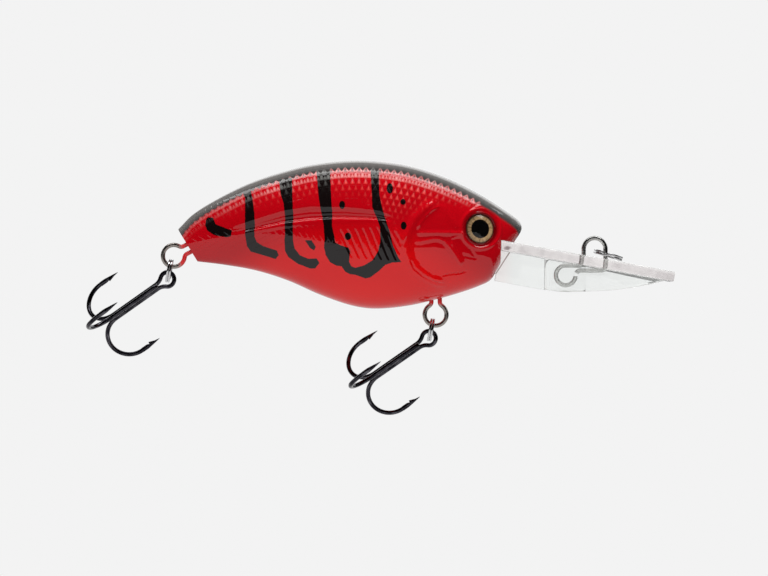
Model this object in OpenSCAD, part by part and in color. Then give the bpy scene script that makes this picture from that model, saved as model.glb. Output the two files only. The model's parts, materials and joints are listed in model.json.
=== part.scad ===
// Deep-diving crankbait lure, as the separate pieces it is assembled from. Sizes in millimetres.
// +X points to the nose, +Y to the lure's left and +Z to its back.
// The origin is the centre of the line tie's loop, where the fishing line pulls.

/* [Body] */
// Length of the moulded body, from the tail's top corner to the snout
body_l = 65.2; // [54:0.1:80]
// Height of the body at its deepest section
body_h = 28.1; // [23:0.1:34]
// Width of the body at its widest section
body_w = 15.6; // [13:0.1:19]
// Wall of each half shell
wall = 1.5; // [1.2:0.05:2.2]
// Squareness of the body's cross-section: 2 is an ellipse, more is flatter sided
section_power = 2.35; // [2:0.05:3]
// Lean of the cut-off tail face from the vertical
tail_lean = 31; // [20:1:40]

/* [Lip] */
// Length of the diving lip ahead of the chin
lip_l = 33.5; // [26:0.1:41]
// Width of the lip at its broadest
lip_w = 19; // [15:0.1:23]
// Width of the lip where it leaves the chin
lip_root_w = 10.4; // [9:0.1:12]
// Thickness of the lip's plate
lip_t = 1.9; // [1.5:0.05:2.4]
// Slope of the lip below the horizontal
lip_angle = 10.4; // [5:0.1:18]
// Depth of the stiffening keel, measured from the plate's top face
keel_depth = 7.8; // [6.5:0.1:9.5]
// Thickness of the keel
keel_t = 2.8; // [2.2:0.1:3.6]
// Thickness of the boss that the line tie is moulded into
boss_t = 4.6; // [3.8:0.1:6]
// Length of the tongue inside the head
tongue_l = 6; // [4.8:0.1:7.2]
// Radius of the peg that locks the tongue
peg_r = 1; // [0.8:0.05:1.3]

/* [Wire and rings] */
// Diameter of the hanger and line tie wire
wire_d = 0.84; // [0.7:0.01:1]
// Radius of a wire loop, at the middle of the wire
loop_r = 2.07; // [1.9:0.01:2.5]
// Outer diameter of a hook's split ring
hook_ring_d = 4.6; // [4.2:0.1:5.6]
// Outer diameter of the line tie's split ring
line_ring_d = 5.6; // [5.2:0.1:6.8]
// Width of a split ring's wire, across the ring
ring_wire_w = 0.6; // [0.5:0.01:0.7]
// Height of one turn of a split ring's wire
ring_wire_t = 0.42; // [0.34:0.01:0.5]

/* [Treble hooks] */
// Length of a treble hook, from the eye to the bottom of the bends
hook_l = 18.9; // [16:0.1:22.6]
// Diameter of the hook wire
hook_d = 0.84; // [0.7:0.01:0.94]
// Radius of the bends, at the middle of the wire
bend_r = 4.15; // [3.5:0.05:4.8]
// Length of the arm from the bend to the needle point
point_l = 4.1; // [3.5:0.1:4.9]
// Radius of the hook's eye, at the middle of the wire
hook_eye_r = 1.37; // [1.3:0.01:1.6]

/* [Eyes] */
// Diameter of the moulded eye
eye_d = 5.4; // [4.6:0.1:6.2]
// Height of the eye's clear dome
dome_h = 1.2; // [0.9:0.05:1.5]
// Thickness of the foil disc behind the dome
foil_t = 0.25; // [0.2:0.05:0.4]

/* [Inside] */
// Diameter of the knocker ball
knocker_d = 5.2; // [4.3:0.1:6.2]
// Diameter of a small rattle ball
rattle_d = 3; // [2.5:0.1:3.6]
// Length of free travel for the small rattle balls
rattle_travel = 4; // [3:0.1:5]
// Diameter of the ballast slug
ballast_d = 5.6; // [4.7:0.1:6.7]
// Length of the ballast slug
ballast_l = 7; // [5.8:0.1:8.4]
// Wall of the ball chambers and of the ballast cradle
chamber_wall = 0.8; // [0.6:0.05:1.1]

/* [Hidden] */
$fn = 48;

// Clearances
fit = 0.05;        // between moulded parts and what they hold
link_gap = 0.3;    // between wires that are linked like a chain
ball_gap = 0.12;   // round a rolling ball
weld_gap = 0.02;   // between the brazed shanks of a treble

// Outline of the body as [share of the length, share of the height]
back_line = [[0, 0.039], [0.041, 0.135], [0.11, 0.237], [0.204, 0.345], [0.298, 0.42], [0.391, 0.473],
    [0.508, 0.5], [0.613, 0.487], [0.693, 0.452], [0.787, 0.377], [0.88, 0.27], [0.949, 0.168],
    [0.985, 0.108], [0.996, 0.08], [1, 0.058]];
belly_line = [[0, -0.165], [0.055, -0.181], [0.133, -0.203], [0.227, -0.242], [0.32, -0.31],
    [0.414, -0.406], [0.508, -0.48], [0.577, -0.5], [0.67, -0.48], [0.764, -0.43], [0.833, -0.383],
    [0.88, -0.343], [0.91, -0.306], [0.926, -0.25], [0.945, -0.17], [0.983, -0.034], [0.996, 0.012],
    [1, 0.034]];
// Half width of the body as [share of the length, share of the half width]
side_line = [[0, 0.17], [0.055, 0.27], [0.133, 0.42], [0.227, 0.6], [0.32, 0.76], [0.414, 0.89],
    [0.508, 0.97], [0.6, 1], [0.7, 0.98], [0.8, 0.9], [0.88, 0.77], [0.94, 0.6], [0.98, 0.42],
    [0.996, 0.26], [1, 0.16]];
// Half width of the lip as [share of the length, share from the root's half width to the broadest]
lip_line = [[0, 0], [0.1, 0.04], [0.25, 0.4], [0.42, 0.84], [0.58, 1], [0.74, 0.98], [0.87, 0.8],
    [0.95, 0.5], [1, 0.1]];
// Depth of the keel below the plate as [share of the length, share of the full depth]
keel_line = [[0, 1], [0.26, 1], [0.4, 0.95], [0.55, 0.78], [0.7, 0.57], [0.85, 0.27], [0.96, 0]];
stations = 38;
section_points = 28;

// Places along the body
notch_x = 0.9387 * body_l;        // upright face that the lip butts against
cavity_start = 0.14 * body_l;
cavity_end = 0.86 * body_l;
belly_x = 0.75 * body_l;
eye_x = 0.881 * body_l;
eye_z = 0.0406 * body_h;
eye_yaw = 19;
eye_pitch = 6;
knocker_x = 0.545 * body_l;
knocker_z = 0.04 * body_h;
ballast_x = 0.635 * body_l;
rattle_x = 0.2 * body_l;
rattle_z = 0.06 * body_h;
pin_r = 0.7;
pin_l = 1.5;
pin_places = [for (p = [[0.32, 0.27], [0.47, 0.36], [0.73, 0.28], [0.44, -0.24]])
    [p[0] * body_l, p[1] * body_h]];

wire_r = wire_d / 2;
hook_r = hook_d / 2;
eye_r = eye_d / 2;
ring_coil_gap = 0.04;
ring_pitch = ring_wire_t + ring_coil_gap;
ring_half_t = ring_pitch / 2 + ring_wire_t / 2;
throat = 0.8;          // half the space between a hanger's legs, wire middle to wire middle
throat_bend = 0.9;
hanger_leg = 4.6;
hanger_foot = 1.6;

// The lip's plate starts under the snout, and its top face falls away at the lip's angle.
lip_root_z = -0.0363 * body_h;
tie_x = notch_x + 17.9;
tie_height = 1.62;                                  // loop centre above the plate's top face
tie_z = lip_top(tie_x) + tie_height;
anchor_r = 1.85;
anchor_x = tie_x - 5.5;
anchor_bend = 0.9;
upper_strand_z = tie_z - 3.15;
anchor_z = upper_strand_z - anchor_r;
lower_strand_z = upper_strand_z - wire_d - 0.14;

// The hangers' loops
belly_loop = [belly_x, 0, belly_z(belly_x) - 2.85];
tail_loop_out = 0.9;
tail_mid_z = -0.088 * body_h;
tail_loop_tilt = 27;
tail_loop = [tail_face_x(tail_mid_z) - (hanger_neck() + tail_loop_out) * cos(tail_loop_tilt), 0,
    tail_mid_z - (hanger_neck() + tail_loop_out) * sin(tail_loop_tilt)];

// How the rings and trebles lie at rest
ring_seat = 20;            // place on the loop, back from its lowest point
ring_tilt = 10;            // ring's plane from the vertical, seen from the side
ring_swing = 24;           // ring's swing to the left
treble_fall = 34.9;        // treble's shank below the horizontal
treble_swing = 10.9;       // treble's shank out to the left
treble_roll = -10.6;       // treble's turn about its own shank

/* ---- Curves ---- */

// Smooth curve through [place, value] pairs
function span(c, x, i = 0) = (i >= len(c) - 2 || x < c[i + 1][0]) ? i : span(c, x, i + 1);
function slope(c, i) = let (a = max(i - 1, 0), b = min(i + 1, len(c) - 1))
    (c[b][1] - c[a][1]) / (c[b][0] - c[a][0]);
function curve(c, x) = let (i = span(c, x), d = c[i + 1][0] - c[i][0], t = (x - c[i][0]) / d)
    (1 + 2 * t) * pow(1 - t, 2) * c[i][1] + t * pow(1 - t, 2) * d * slope(c, i)
    + t * t * (3 - 2 * t) * c[i + 1][1] + t * t * (t - 1) * d * slope(c, i + 1);
function signed_power(v, p) = sign(v) * pow(abs(v), p);

/* ---- The body's form ---- */

function back_z(x) = body_h * curve(back_line, x / body_l);
function belly_z(x) = body_h * curve(belly_line, x / body_l);
function mid_z(x) = (back_z(x) + belly_z(x)) / 2;
function half_h(x) = (back_z(x) - belly_z(x)) / 2;
function half_w(x) = body_w / 2 * curve(side_line, x / body_l);
// Distance from the middle plane to the skin at a height
function side_y(x, z) = half_w(x)
    * pow(1 - pow(abs(z - mid_z(x)) / half_h(x), section_power), 1 / section_power);
function tail_face_x(z) = (back_z(0) - z) * tan(tail_lean);
function section(x, inset) = [for (k = [0 : section_points - 1]) let (a = 360 * k / section_points)
    [x, (half_w(x) - inset) * signed_power(cos(a), 2 / section_power),
        mid_z(x) + (half_h(x) - inset) * signed_power(sin(a), 2 / section_power)]];

// A closed solid through a list of rings of points, with flat ends
module loft(rings) {
    n = len(rings[0]);
    last = len(rings) - 1;
    polyhedron(
        points = [for (ring = rings) each ring],
        faces = concat(
            [[for (k = [0 : n - 1]) k]],
            [for (i = [0 : last - 1], k = [0 : n - 1]) let (j = (k + 1) % n)
                [i * n + k, (i + 1) * n + k, (i + 1) * n + j, i * n + j]],
            [[for (k = [n - 1 : -1 : 0]) last * n + k]]),
        convexity = 6);
}

// The body's outside, or its inside when inset by the wall. Stations crowd towards both ends.
module body_form(inset, x0, x1) {
    loft([for (i = [0 : stations]) section(x0 + (x1 - x0) * (1 - cos(180 * i / stations)) / 2, inset)]);
}

module tail_cut() {
    translate([0, 0, back_z(0)]) rotate([0, -tail_lean, 0])
        translate([-20, -15, -30]) cube([20, 30, 60]);
}

// Space under the snout and ahead of the chin that the lip's root fills
module lip_notch() {
    rotate([90, 0, 0]) linear_extrude(height = 30, center = true) polygon([
        [notch_x, lip_top(notch_x) + fit], [notch_x + 9, lip_top(notch_x + 9) + fit],
        [notch_x + 9, -body_h], [notch_x, -body_h]]);
}

/* ---- Lip ---- */

function lip_top(x) = lip_root_z - (x - notch_x) * tan(lip_angle);
function lip_half_w(u) = lip_root_w / 2 + (lip_w - lip_root_w) / 2 * curve(lip_line, u / lip_l);
function keel_drop(u) = lip_t + (keel_depth - lip_t) * max(0, curve(keel_line, min(u / lip_l, 0.96)));

// Places a shape drawn along the lip: X along the plate, Z up from its top face
module on_lip() {
    translate([notch_x, 0, lip_root_z]) rotate([0, lip_angle, 0]) children();
}

module lip_plate() {
    steps = 28;
    edge = [for (i = [0 : steps]) let (u = fit + (lip_l - fit) * i / steps) [u, lip_half_w(u)]];
    translate([0, 0, -lip_t]) linear_extrude(height = lip_t)
        polygon(concat(edge, [for (i = [steps : -1 : 0]) [edge[i][0], -edge[i][1]]]));
}

// The keel's side view: its rear edge follows the chin, its lower edge runs out at the tip
module keel_outline() {
    steps = 24;
    chin_steps = 5;
    chin_low = 0.9 * body_l;
    far = 0.955 * lip_l;
    polygon(concat(
        [[notch_x + fit, lip_top(notch_x) - lip_t / 2]],
        [for (i = [0 : chin_steps]) let (x = notch_x + (chin_low + fit - notch_x) * i / chin_steps)
            if (belly_z(x) > lip_top(x) - keel_depth + 0.2) [x + fit, belly_z(x) - fit]],
        [for (i = [0 : steps]) let (u = 0.3 + (far - 0.3) * i / steps)
            [notch_x + u * cos(lip_angle) - keel_drop(u) * sin(lip_angle),
                lip_root_z - u * sin(lip_angle) - keel_drop(u) * cos(lip_angle)]],
        [[notch_x + far * cos(lip_angle) - lip_t / 2 * sin(lip_angle),
            lip_root_z - far * sin(lip_angle) - lip_t / 2 * cos(lip_angle)]]));
}

module tongue_outline(grow) {
    translate([notch_x - tongue_l - grow, lip_root_z - 6.4 - grow])
        square([tongue_l + 1 + grow, 4.8 + 2 * grow]);
}

function peg_x() = notch_x - tongue_l / 2 - 0.4;
function peg_z() = lip_root_z - 4;

module side_extrude(thickness) {
    rotate([90, 0, 0]) linear_extrude(height = thickness, center = true) children();
}

module diving_lip() {
    color([0.9, 0.93, 0.95, 0.4]) difference() {
        union() {
            difference() {
                on_lip() lip_plate();
                translate([notch_x + fit - 2, -15, lip_root_z - 5]) cube([2, 30, 8]);
            }
            side_extrude(keel_t) keel_outline();
            side_extrude(boss_t) intersection() {
                keel_outline();
                translate([anchor_x - 4.1, -body_h]) square([7.9, body_h]);
            }
            side_extrude(keel_t) tongue_outline(0);
        }
        translate([peg_x(), 0, peg_z()]) rotate([90, 0, 0]) cylinder(r = peg_r + fit, h = 20, center = true);
        line_tie_path(wire_r);
    }
}

/* ---- Wire forms, drawn in the middle plane ---- */

// Arc of round wire about [x, z], from one angle to another, anticlockwise seen from -Y
module wire_arc(centre, radius, from, to, r) {
    translate([centre[0], 0, centre[1]]) rotate([90, 0, 0]) rotate([0, 0, from])
        rotate_extrude(angle = to - from) translate([radius, 0]) circle(r = r);
}

module wire_line(a, b, r) {
    d = b - a;
    translate([a[0], 0, a[1]]) rotate([0, atan2(d[0], d[1]), 0]) cylinder(r = r, h = norm(d));
}

// Round arch above the plate, two legs through it, and an anchor loop moulded into the boss
module line_tie_path(r) {
    back_leg = tie_x - loop_r;
    front_leg = tie_x + loop_r;
    wire_arc([tie_x, tie_z], loop_r, 0, 180, r);
    wire_line([back_leg, tie_z], [back_leg, upper_strand_z + anchor_bend], r);
    wire_arc([back_leg - anchor_bend, upper_strand_z + anchor_bend], anchor_bend, -90, 0, r);
    wire_line([back_leg - anchor_bend, upper_strand_z], [anchor_x, upper_strand_z], r);
    wire_arc([anchor_x, anchor_z], anchor_r, 90, 360, r);
    wire_arc([anchor_x + anchor_r + anchor_bend, anchor_z], anchor_bend, 90, 180, r);
    wire_line([anchor_x + anchor_r + anchor_bend, anchor_z + anchor_bend],
        [front_leg - anchor_bend, anchor_z + anchor_bend], r);
    wire_arc([front_leg - anchor_bend, anchor_z + 2 * anchor_bend], anchor_bend, -90, 0, r);
    wire_line([front_leg, anchor_z + 2 * anchor_bend], [front_leg, tie_z], r);
}

module line_tie_wire() {
    color([0.6, 0.6, 0.58]) line_tie_path(wire_r);
}

// Height of the throat above a hanger's loop, where the bends run into the legs
function hanger_neck() = sqrt(pow(loop_r + throat_bend, 2) - pow(throat + throat_bend, 2));

// Bent wire as a tube through stations of [place, direction, a normal to the bending plane, radius].
// A fifth item is the height of a barb on the tube's inner side there.
tube_sides = 12;
module tube(path) {
    loft([for (s = path) let (b = cross(s[2], s[1])) [for (k = [0 : tube_sides - 1])
        let (a = 360 * (k + 0.5) / tube_sides, barb = cos(a) < -0.9 && s[4] != undef ? s[4] : 0)
            s[0] + (s[3] + barb) * (cos(a) * b + sin(a) * s[2])]]);
}

// Stations along an arc in the middle plane. A negative step runs clockwise.
function bend(centre, radius, from, to, step, r) = [for (a = [from : step : to + step / 10])
    [[centre[0] + radius * cos(a), 0, centre[1] + radius * sin(a)],
        sign(step) * [-sin(a), 0, cos(a)], [0, -1, 0], r]];

// A hanger with its loop's centre at the origin and its legs running up +Z, feet turned outward
module hanger(r) {
    neck = hanger_neck();
    turn = atan2(neck, throat + throat_bend);
    out = throat + throat_bend;
    top = neck + hanger_leg;
    foot = out + hanger_foot;
    tube(concat(
        [[[-foot, 0, top + throat_bend], [1, 0, 0], [0, -1, 0], r]],
        bend([-out, top], throat_bend, 90, 0, -30, r),
        bend([-out, neck], throat_bend, 0, -turn, -turn / 3, r),
        bend([0, 0], loop_r, 180 - turn + (180 + 2 * turn) / 20, 360 + turn - (180 + 2 * turn) / 40,
            (180 + 2 * turn) / 20, r),
        bend([out, neck], throat_bend, 180 + turn, 180, -turn / 3, r),
        bend([out, top], throat_bend, 180, 90, -30, r),
        [[[foot, 0, top + throat_bend], [1, 0, 0], [0, -1, 0], r]]));
}

module belly_hanger_form(r) {
    translate(belly_loop) hanger(r);
}

module tail_hanger_form(r) {
    translate(tail_loop) rotate([0, 90 - tail_loop_tilt, 0]) hanger(r);
}

module belly_hanger() {
    color([0.56, 0.5, 0.47]) belly_hanger_form(wire_r);
}

module tail_hanger() {
    color([0.56, 0.5, 0.47]) tail_hanger_form(wire_r);
}

/* ---- Body shells ---- */

module pin_boss(p) {
    reach = side_y(p[0], p[1]) - wall / 2;
    hull() {
        translate([p[0], 0, p[1]]) rotate([-90, 0, 0]) cylinder(r = pin_r + 0.7, h = 0.1, $fn = 24);
        translate([p[0], reach, p[1]]) rotate([-90, 0, 0]) cylinder(r = pin_r + 1.1, h = 0.1, $fn = 24);
    }
}

// Stiffening rib across the half shell, with rounded corners
module cross_rib(x, z, length, height) {
    hull() for (dx = [-1, 1], dz = [-1, 1])
        translate([x + dx * (length / 2 - 0.3), 0, z + dz * (height / 2 - 0.3)])
            rotate([-90, 0, 0]) cylinder(r = 0.3, h = body_w, $fn = 12);
}

function rattle_room() = 3 * rattle_d + 2 * ball_gap + rattle_travel;
rattle_out = rattle_d / 2 + ball_gap + chamber_wall;

module rattle_tube() {
    translate([rattle_x - chamber_wall, 0, rattle_z]) rotate([0, 90, 0])
        cylinder(r = rattle_out, h = rattle_room() + 2 * chamber_wall);
    for (share = [0.2, 0.8])
        cross_rib(rattle_x + share * rattle_room(), rattle_z, 1, 2 * rattle_out);
}

module cross_tube(x, z, r) {
    translate([x, 0, z]) rotate([-90, 0, 0]) cylinder(r = r, h = body_w);
}

function ballast_z() = belly_z(ballast_x) + wall + ballast_d / 2 + 1;

// Everything moulded inside a half, drawn on the +Y side and trimmed to the body
module inner_structure() {
    rattle_tube();
    cross_tube(knocker_x, knocker_z, knocker_d / 2 + ball_gap + chamber_wall);
    cross_tube(ballast_x, ballast_z(), ballast_d / 2 + fit + chamber_wall);
    for (p = pin_places) pin_boss(p);
    cross_rib(belly_x, belly_z(belly_x) + 4.5, 2 * (throat + throat_bend + hanger_foot) + 2.4, 9);
    cross_rib(notch_x - tongue_l - 1, lip_root_z - 4, 4, 7.5);
}

// Space for the balls and the slug, on both sides of the middle plane
module inner_rooms() {
    translate([rattle_x, 0, rattle_z]) rotate([0, 90, 0])
        cylinder(r = rattle_d / 2 + ball_gap, h = rattle_room());
    translate([knocker_x, 0, knocker_z]) rotate([90, 0, 0])
        cylinder(r = knocker_d / 2 + ball_gap, h = 2 * knocker_reach(), center = true);
    translate([ballast_x, 0, ballast_z()]) rotate([90, 0, 0])
        cylinder(r = ballast_d / 2 + fit, h = ballast_l + 2 * fit, center = true);
}

// Half the length of the knocker's tube, up to the shells' side walls
function knocker_reach() = side_y(knocker_x, knocker_z) - wall - 0.6;

function eye_out() = side_y(eye_x, eye_z);
eye_sink = 0.75;      // depth of the eye's seat below the skin

// Places a shape at the left cheek with +Z pointing out of it
module at_left_eye() {
    translate([eye_x, eye_out(), eye_z]) rotate([0, 0, -eye_yaw]) rotate([eye_pitch - 90, 0, 0]) children();
}

module eye_socket() {
    at_left_eye() translate([0, 0, -eye_sink - foil_t]) cylinder(r = eye_r + fit, h = 6);
}

// One half of the body, on the +Y side
module half_shell() {
    $fn = 32;
    difference() {
        union() {
            difference() {
                body_form(0, 0, body_l);
                body_form(wall, cavity_start, cavity_end);
            }
            intersection() {
                body_form(wall / 2, 0.02 * body_l, 0.97 * body_l);
                inner_structure();
            }
        }
        translate([-20, -30, -40]) cube([body_l + 40, 30, 80]);
        tail_cut();
        lip_notch();
        inner_rooms();
        side_extrude(keel_t + 2 * fit) tongue_outline(fit);
        belly_hanger_form(wire_r + fit);
        tail_hanger_form(wire_r + fit);
        eye_socket();
    }
}

// The left half carries the pins and the lip's peg
module left_body_shell() {
    color([0.78, 0.06, 0.06]) union() {
        half_shell();
        for (p = pin_places) translate([p[0], 0.5, p[1]]) rotate([90, 0, 0])
            cylinder(r = pin_r, h = pin_l + 0.5, $fn = 24);
        translate([peg_x(), keel_t / 2 + 0.5, peg_z()]) rotate([90, 0, 0])
            cylinder(r = peg_r, h = keel_t + 2, $fn = 32);
    }
}

module right_body_shell() {
    color([0.78, 0.06, 0.06]) difference() {
        mirror([0, 1, 0]) half_shell();
        for (p = pin_places) translate([p[0], 1, p[1]]) rotate([90, 0, 0])
            cylinder(r = pin_r + fit, h = pin_l + 1.3, $fn = 24);
        translate([peg_x(), 0, peg_z()]) rotate([90, 0, 0])
            cylinder(r = peg_r + fit, h = keel_t / 2 + 1.8, $fn = 32);
    }
}

/* ---- Split rings ---- */

// Two turns of flattened wire that step past each other at the ring's slanting middle part
ring_end = 25;       // angle at which the lower turn starts
function ring_rise(a) = let (t = min(1, max(0, (a - (360 - ring_end)) / (2 * ring_end))))
    t * t * (3 - 2 * t) - 0.5;

module split_ring(outer_d) {
    middle = (outer_d - ring_wire_w) / 2;
    corner = 0.62;
    outline = [[-1, -corner], [-corner, -1], [corner, -1], [1, -corner],
        [1, corner], [corner, 1], [-corner, 1], [-1, corner]];
    step = 10;
    rotate([0, 0, 180]) loft([for (a = [ring_end : step : 720 - ring_end])
        [for (k = [7 : -1 : 0]) let (m = middle + outline[k][0] * ring_wire_w / 2)
            [m * cos(a), m * sin(a), ring_rise(a) * ring_pitch + outline[k][1] * ring_wire_t / 2]]]);
}

// Distance from the hanger's wire to the ring's middle when the two hang in each other
hook_ring_mid = (hook_ring_d - ring_wire_w) / 2;
ring_hang = hook_ring_mid - ring_wire_w / 2 - link_gap - wire_r;

// Where a ring's plane crosses the wire of a hanger's loop
function ring_near(loop) = loop - loop_r * [sin(ring_seat), 0, cos(ring_seat)];

// Turns +Z to the normal of a ring at its loop. The ring hangs towards -Y from the origin.
module at_hook_ring(loop) {
    translate(ring_near(loop)) rotate([0, ring_tilt, 0]) rotate([ring_swing, 0, 0])
        rotate([0, 90, 0]) rotate([0, 0, 90]) children();
}

module hook_ring(loop) {
    color([0.75, 0.75, 0.75]) at_hook_ring(loop)
        translate([0, -ring_hang, 0]) rotate([0, 0, 90]) split_ring(hook_ring_d);
}

module belly_ring() {
    hook_ring(belly_loop);
}

module tail_ring() {
    hook_ring(tail_loop);
}

// The line tie's ring lies on the lip, threaded on the arch's front leg, with its far edge low
line_ring_tilt = 6;
line_ring_ahead = 0.35;
line_ring_lift = ring_half_t + 0.16 + (line_ring_ahead + line_ring_d / 2) * sin(line_ring_tilt);
module line_tie_ring() {
    color([0.75, 0.75, 0.75]) translate([tie_x + loop_r, 0, lip_top(tie_x + loop_r)])
        rotate([0, lip_angle, 0]) translate([line_ring_ahead, 0, line_ring_lift / cos(lip_angle)])
            rotate([0, line_ring_tilt, 0]) rotate([0, 0, 90]) split_ring(line_ring_d);
}

/* ---- Treble hooks ---- */

shank_gap = hook_r + weld_gap / 2;          // middle plane to the middle of each shank of the double hook
single_out = shank_gap * sqrt(3);           // the single hook's shank lies in the groove of the other two
eye_throat_bend = 2.5;
eye_neck = sqrt(pow(hook_eye_r + eye_throat_bend, 2) - pow(shank_gap + eye_throat_bend, 2));
eye_mid = hook_eye_r + hook_r;              // top of the eye to the eye's centre
bend_top = hook_l - bend_r - hook_r;        // top of the eye to where the bends begin

needle_l = 2.9;
needle_tip_r = 0.04;
barb_h = 0.34;

// Stations of one hook from its needle's tip to the foot of its shank. It bends out towards h.
function hook_path(foot, h) = let (
        n = cross(h, [0, 0, 1]),
        out = foot + 2 * bend_r * h,
        middle = foot + bend_r * h)
    concat(
        [[out + [0, 0, point_l], [0, 0, -1], n, needle_tip_r],
            [out + [0, 0, point_l - needle_l * 0.35], [0, 0, -1], n, hook_r * 0.46],
            [out + [0, 0, point_l - needle_l * 0.66], [0, 0, -1], n, hook_r * 0.72, barb_h],
            [out + [0, 0, point_l - needle_l * 0.71], [0, 0, -1], n, hook_r * 0.75],
            [out + [0, 0, point_l - needle_l], [0, 0, -1], n, hook_r]],
        [for (a = [360 : -12 : 180])
            [middle + bend_r * (cos(a) * h + sin(a) * [0, 0, 1]),
                sin(a) * h - cos(a) * [0, 0, 1], n, hook_r]]);

// The same stations from the shank to the needle's tip, with the tube's sides kept in step
function turned(path) = [for (i = [len(path) - 1 : -1 : 0])
    [path[i][0], -path[i][1], -path[i][2], path[i][3], path[i][4]]];

// Two hooks bent from one wire, with the eye between them. The eye's top is at the origin.
module double_hook() {
    out = shank_gap + eye_throat_bend;
    turn = atan2(eye_neck, out);
    neck = -eye_mid - eye_neck;
    right = [cos(-30), sin(-30), 0];
    left = [-cos(-30), sin(-30), 0];
    right_foot = [shank_gap, 0, -bend_top];
    left_foot = [-shank_gap, 0, -bend_top];
    arc = (180 + 2 * turn) / 18;
    translate([0, -single_out / 3, 0]) {
        tube(concat(
            hook_path(right_foot, right),
            bend([out, neck], eye_throat_bend, 180, 180 - turn, -turn / 4, hook_r),
            bend([0, -eye_mid], hook_eye_r, -turn + arc, 180 + turn - arc / 2, arc, hook_r),
            bend([-out, neck], eye_throat_bend, turn, 0, -turn / 4, hook_r),
            turned(hook_path(left_foot, left))));
    }
}

// The third hook, brazed to the others
module single_hook() {
    shank_top = -eye_mid - eye_neck + 0.4;
    translate([0, single_out * 2 / 3, 0]) {
        tube(concat(
            hook_path([0, 0, -bend_top], [0, 1, 0]),
            [[[0, 0, shank_top], [0, 0, 1], [1, 0, 0], hook_r]]));
    }
}

// Middle of the ring's wire at its far side, where the treble's eye hangs
function ring_far(loop) = ring_near(loop) + (ring_hang + hook_ring_mid)
    * [-cos(ring_swing) * sin(ring_tilt), sin(ring_swing), -cos(ring_swing) * cos(ring_tilt)];
eye_rest = [-0.1, 0, 0.15];     // eye's centre from the ring's wire: the eye isn't pulled tight

module at_treble(loop) {
    translate(ring_far(loop) + eye_rest) rotate([0, 90 - treble_fall, 0]) rotate([treble_swing, 0, 0])
        rotate([0, 0, 180 + treble_roll]) translate([0, single_out / 3, eye_mid]) children();
}

module belly_treble_double_hook() {
    color([0.12, 0.11, 0.13]) at_treble(belly_loop) double_hook();
}

module belly_treble_single_hook() {
    color([0.12, 0.11, 0.13]) at_treble(belly_loop) single_hook();
}

module tail_treble_double_hook() {
    color([0.12, 0.11, 0.13]) at_treble(tail_loop) double_hook();
}

module tail_treble_single_hook() {
    color([0.12, 0.11, 0.13]) at_treble(tail_loop) single_hook();
}

/* ---- Eyes ---- */

module eye_foil() {
    at_left_eye() translate([0, 0, -eye_sink - foil_t]) cylinder(r = eye_r, h = foil_t);
}

// Shallow rim with a spherical cap on it
module eye_dome() {
    rim = 0.3;
    cap = dome_h - rim;
    ball = (eye_r * eye_r + cap * cap) / (2 * cap);
    at_left_eye() translate([0, 0, -eye_sink]) {
        cylinder(r = eye_r, h = rim);
        intersection() {
            translate([0, 0, rim + cap - ball]) sphere(r = ball);
            translate([0, 0, rim / 2]) cylinder(r = eye_r, h = dome_h);
        }
    }
}

module left_eye_foil() {
    color([0.72, 0.58, 0.38]) eye_foil();
}

module left_eye_dome() {
    color([0.9, 0.85, 0.75, 0.4]) eye_dome();
}

module right_eye_foil() {
    color([0.72, 0.58, 0.38]) mirror([0, 1, 0]) eye_foil();
}

module right_eye_dome() {
    color([0.9, 0.85, 0.75, 0.4]) mirror([0, 1, 0]) eye_dome();
}

/* ---- Weight and rattles ---- */

module ballast_slug() {
    color([0.75, 0.6, 0.3]) translate([ballast_x, 0, ballast_z()]) rotate([90, 0, 0])
        cylinder(r = ballast_d / 2, h = ballast_l, center = true);
}

module knocker_ball() {
    color([0.7, 0.7, 0.72]) translate([knocker_x, 0, knocker_z]) sphere(r = knocker_d / 2);
}

module rattle_ball(i) {
    place = rattle_x + ball_gap + rattle_d / 2 + i * (rattle_d + 0.01);
    color([0.7, 0.7, 0.72]) translate([place, 0, rattle_z]) sphere(r = rattle_d / 2);
}

/* ---- Nodes ---- */

// Moves the drawing so that the line tie's loop is at the origin
module in_place() {
    translate([-tie_x, 0, -tie_z]) children();
}

in_place() left_body_shell();
in_place() right_body_shell();
in_place() diving_lip();
in_place() line_tie_wire();
in_place() line_tie_ring();
in_place() belly_hanger();
in_place() belly_ring();
in_place() belly_treble_double_hook();
in_place() belly_treble_single_hook();
in_place() tail_hanger();
in_place() tail_ring();
in_place() tail_treble_double_hook();
in_place() tail_treble_single_hook();
in_place() left_eye_foil();
in_place() left_eye_dome();
in_place() right_eye_foil();
in_place() right_eye_dome();
in_place() ballast_slug();
in_place() knocker_ball();
in_place() rattle_ball(0);  // rattle_ball_1
in_place() rattle_ball(1);  // rattle_ball_2
in_place() rattle_ball(2);  // rattle_ball_3
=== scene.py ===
# %% [markdown]
# # A deep-diving crankbait, built in Blender
# The lure is a hollow painted body with a clear diving lip, wire loops, split rings and treble hooks.
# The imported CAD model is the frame: it gives each piece its place and the way it moves. This lesson
# gives the pieces their finished shapes and finishes. All lengths in the helpers are in millimetres,
# measured from the tail along the body, because a lure is easier to think about that way.

# %% Load the frame
import json
import math

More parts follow.
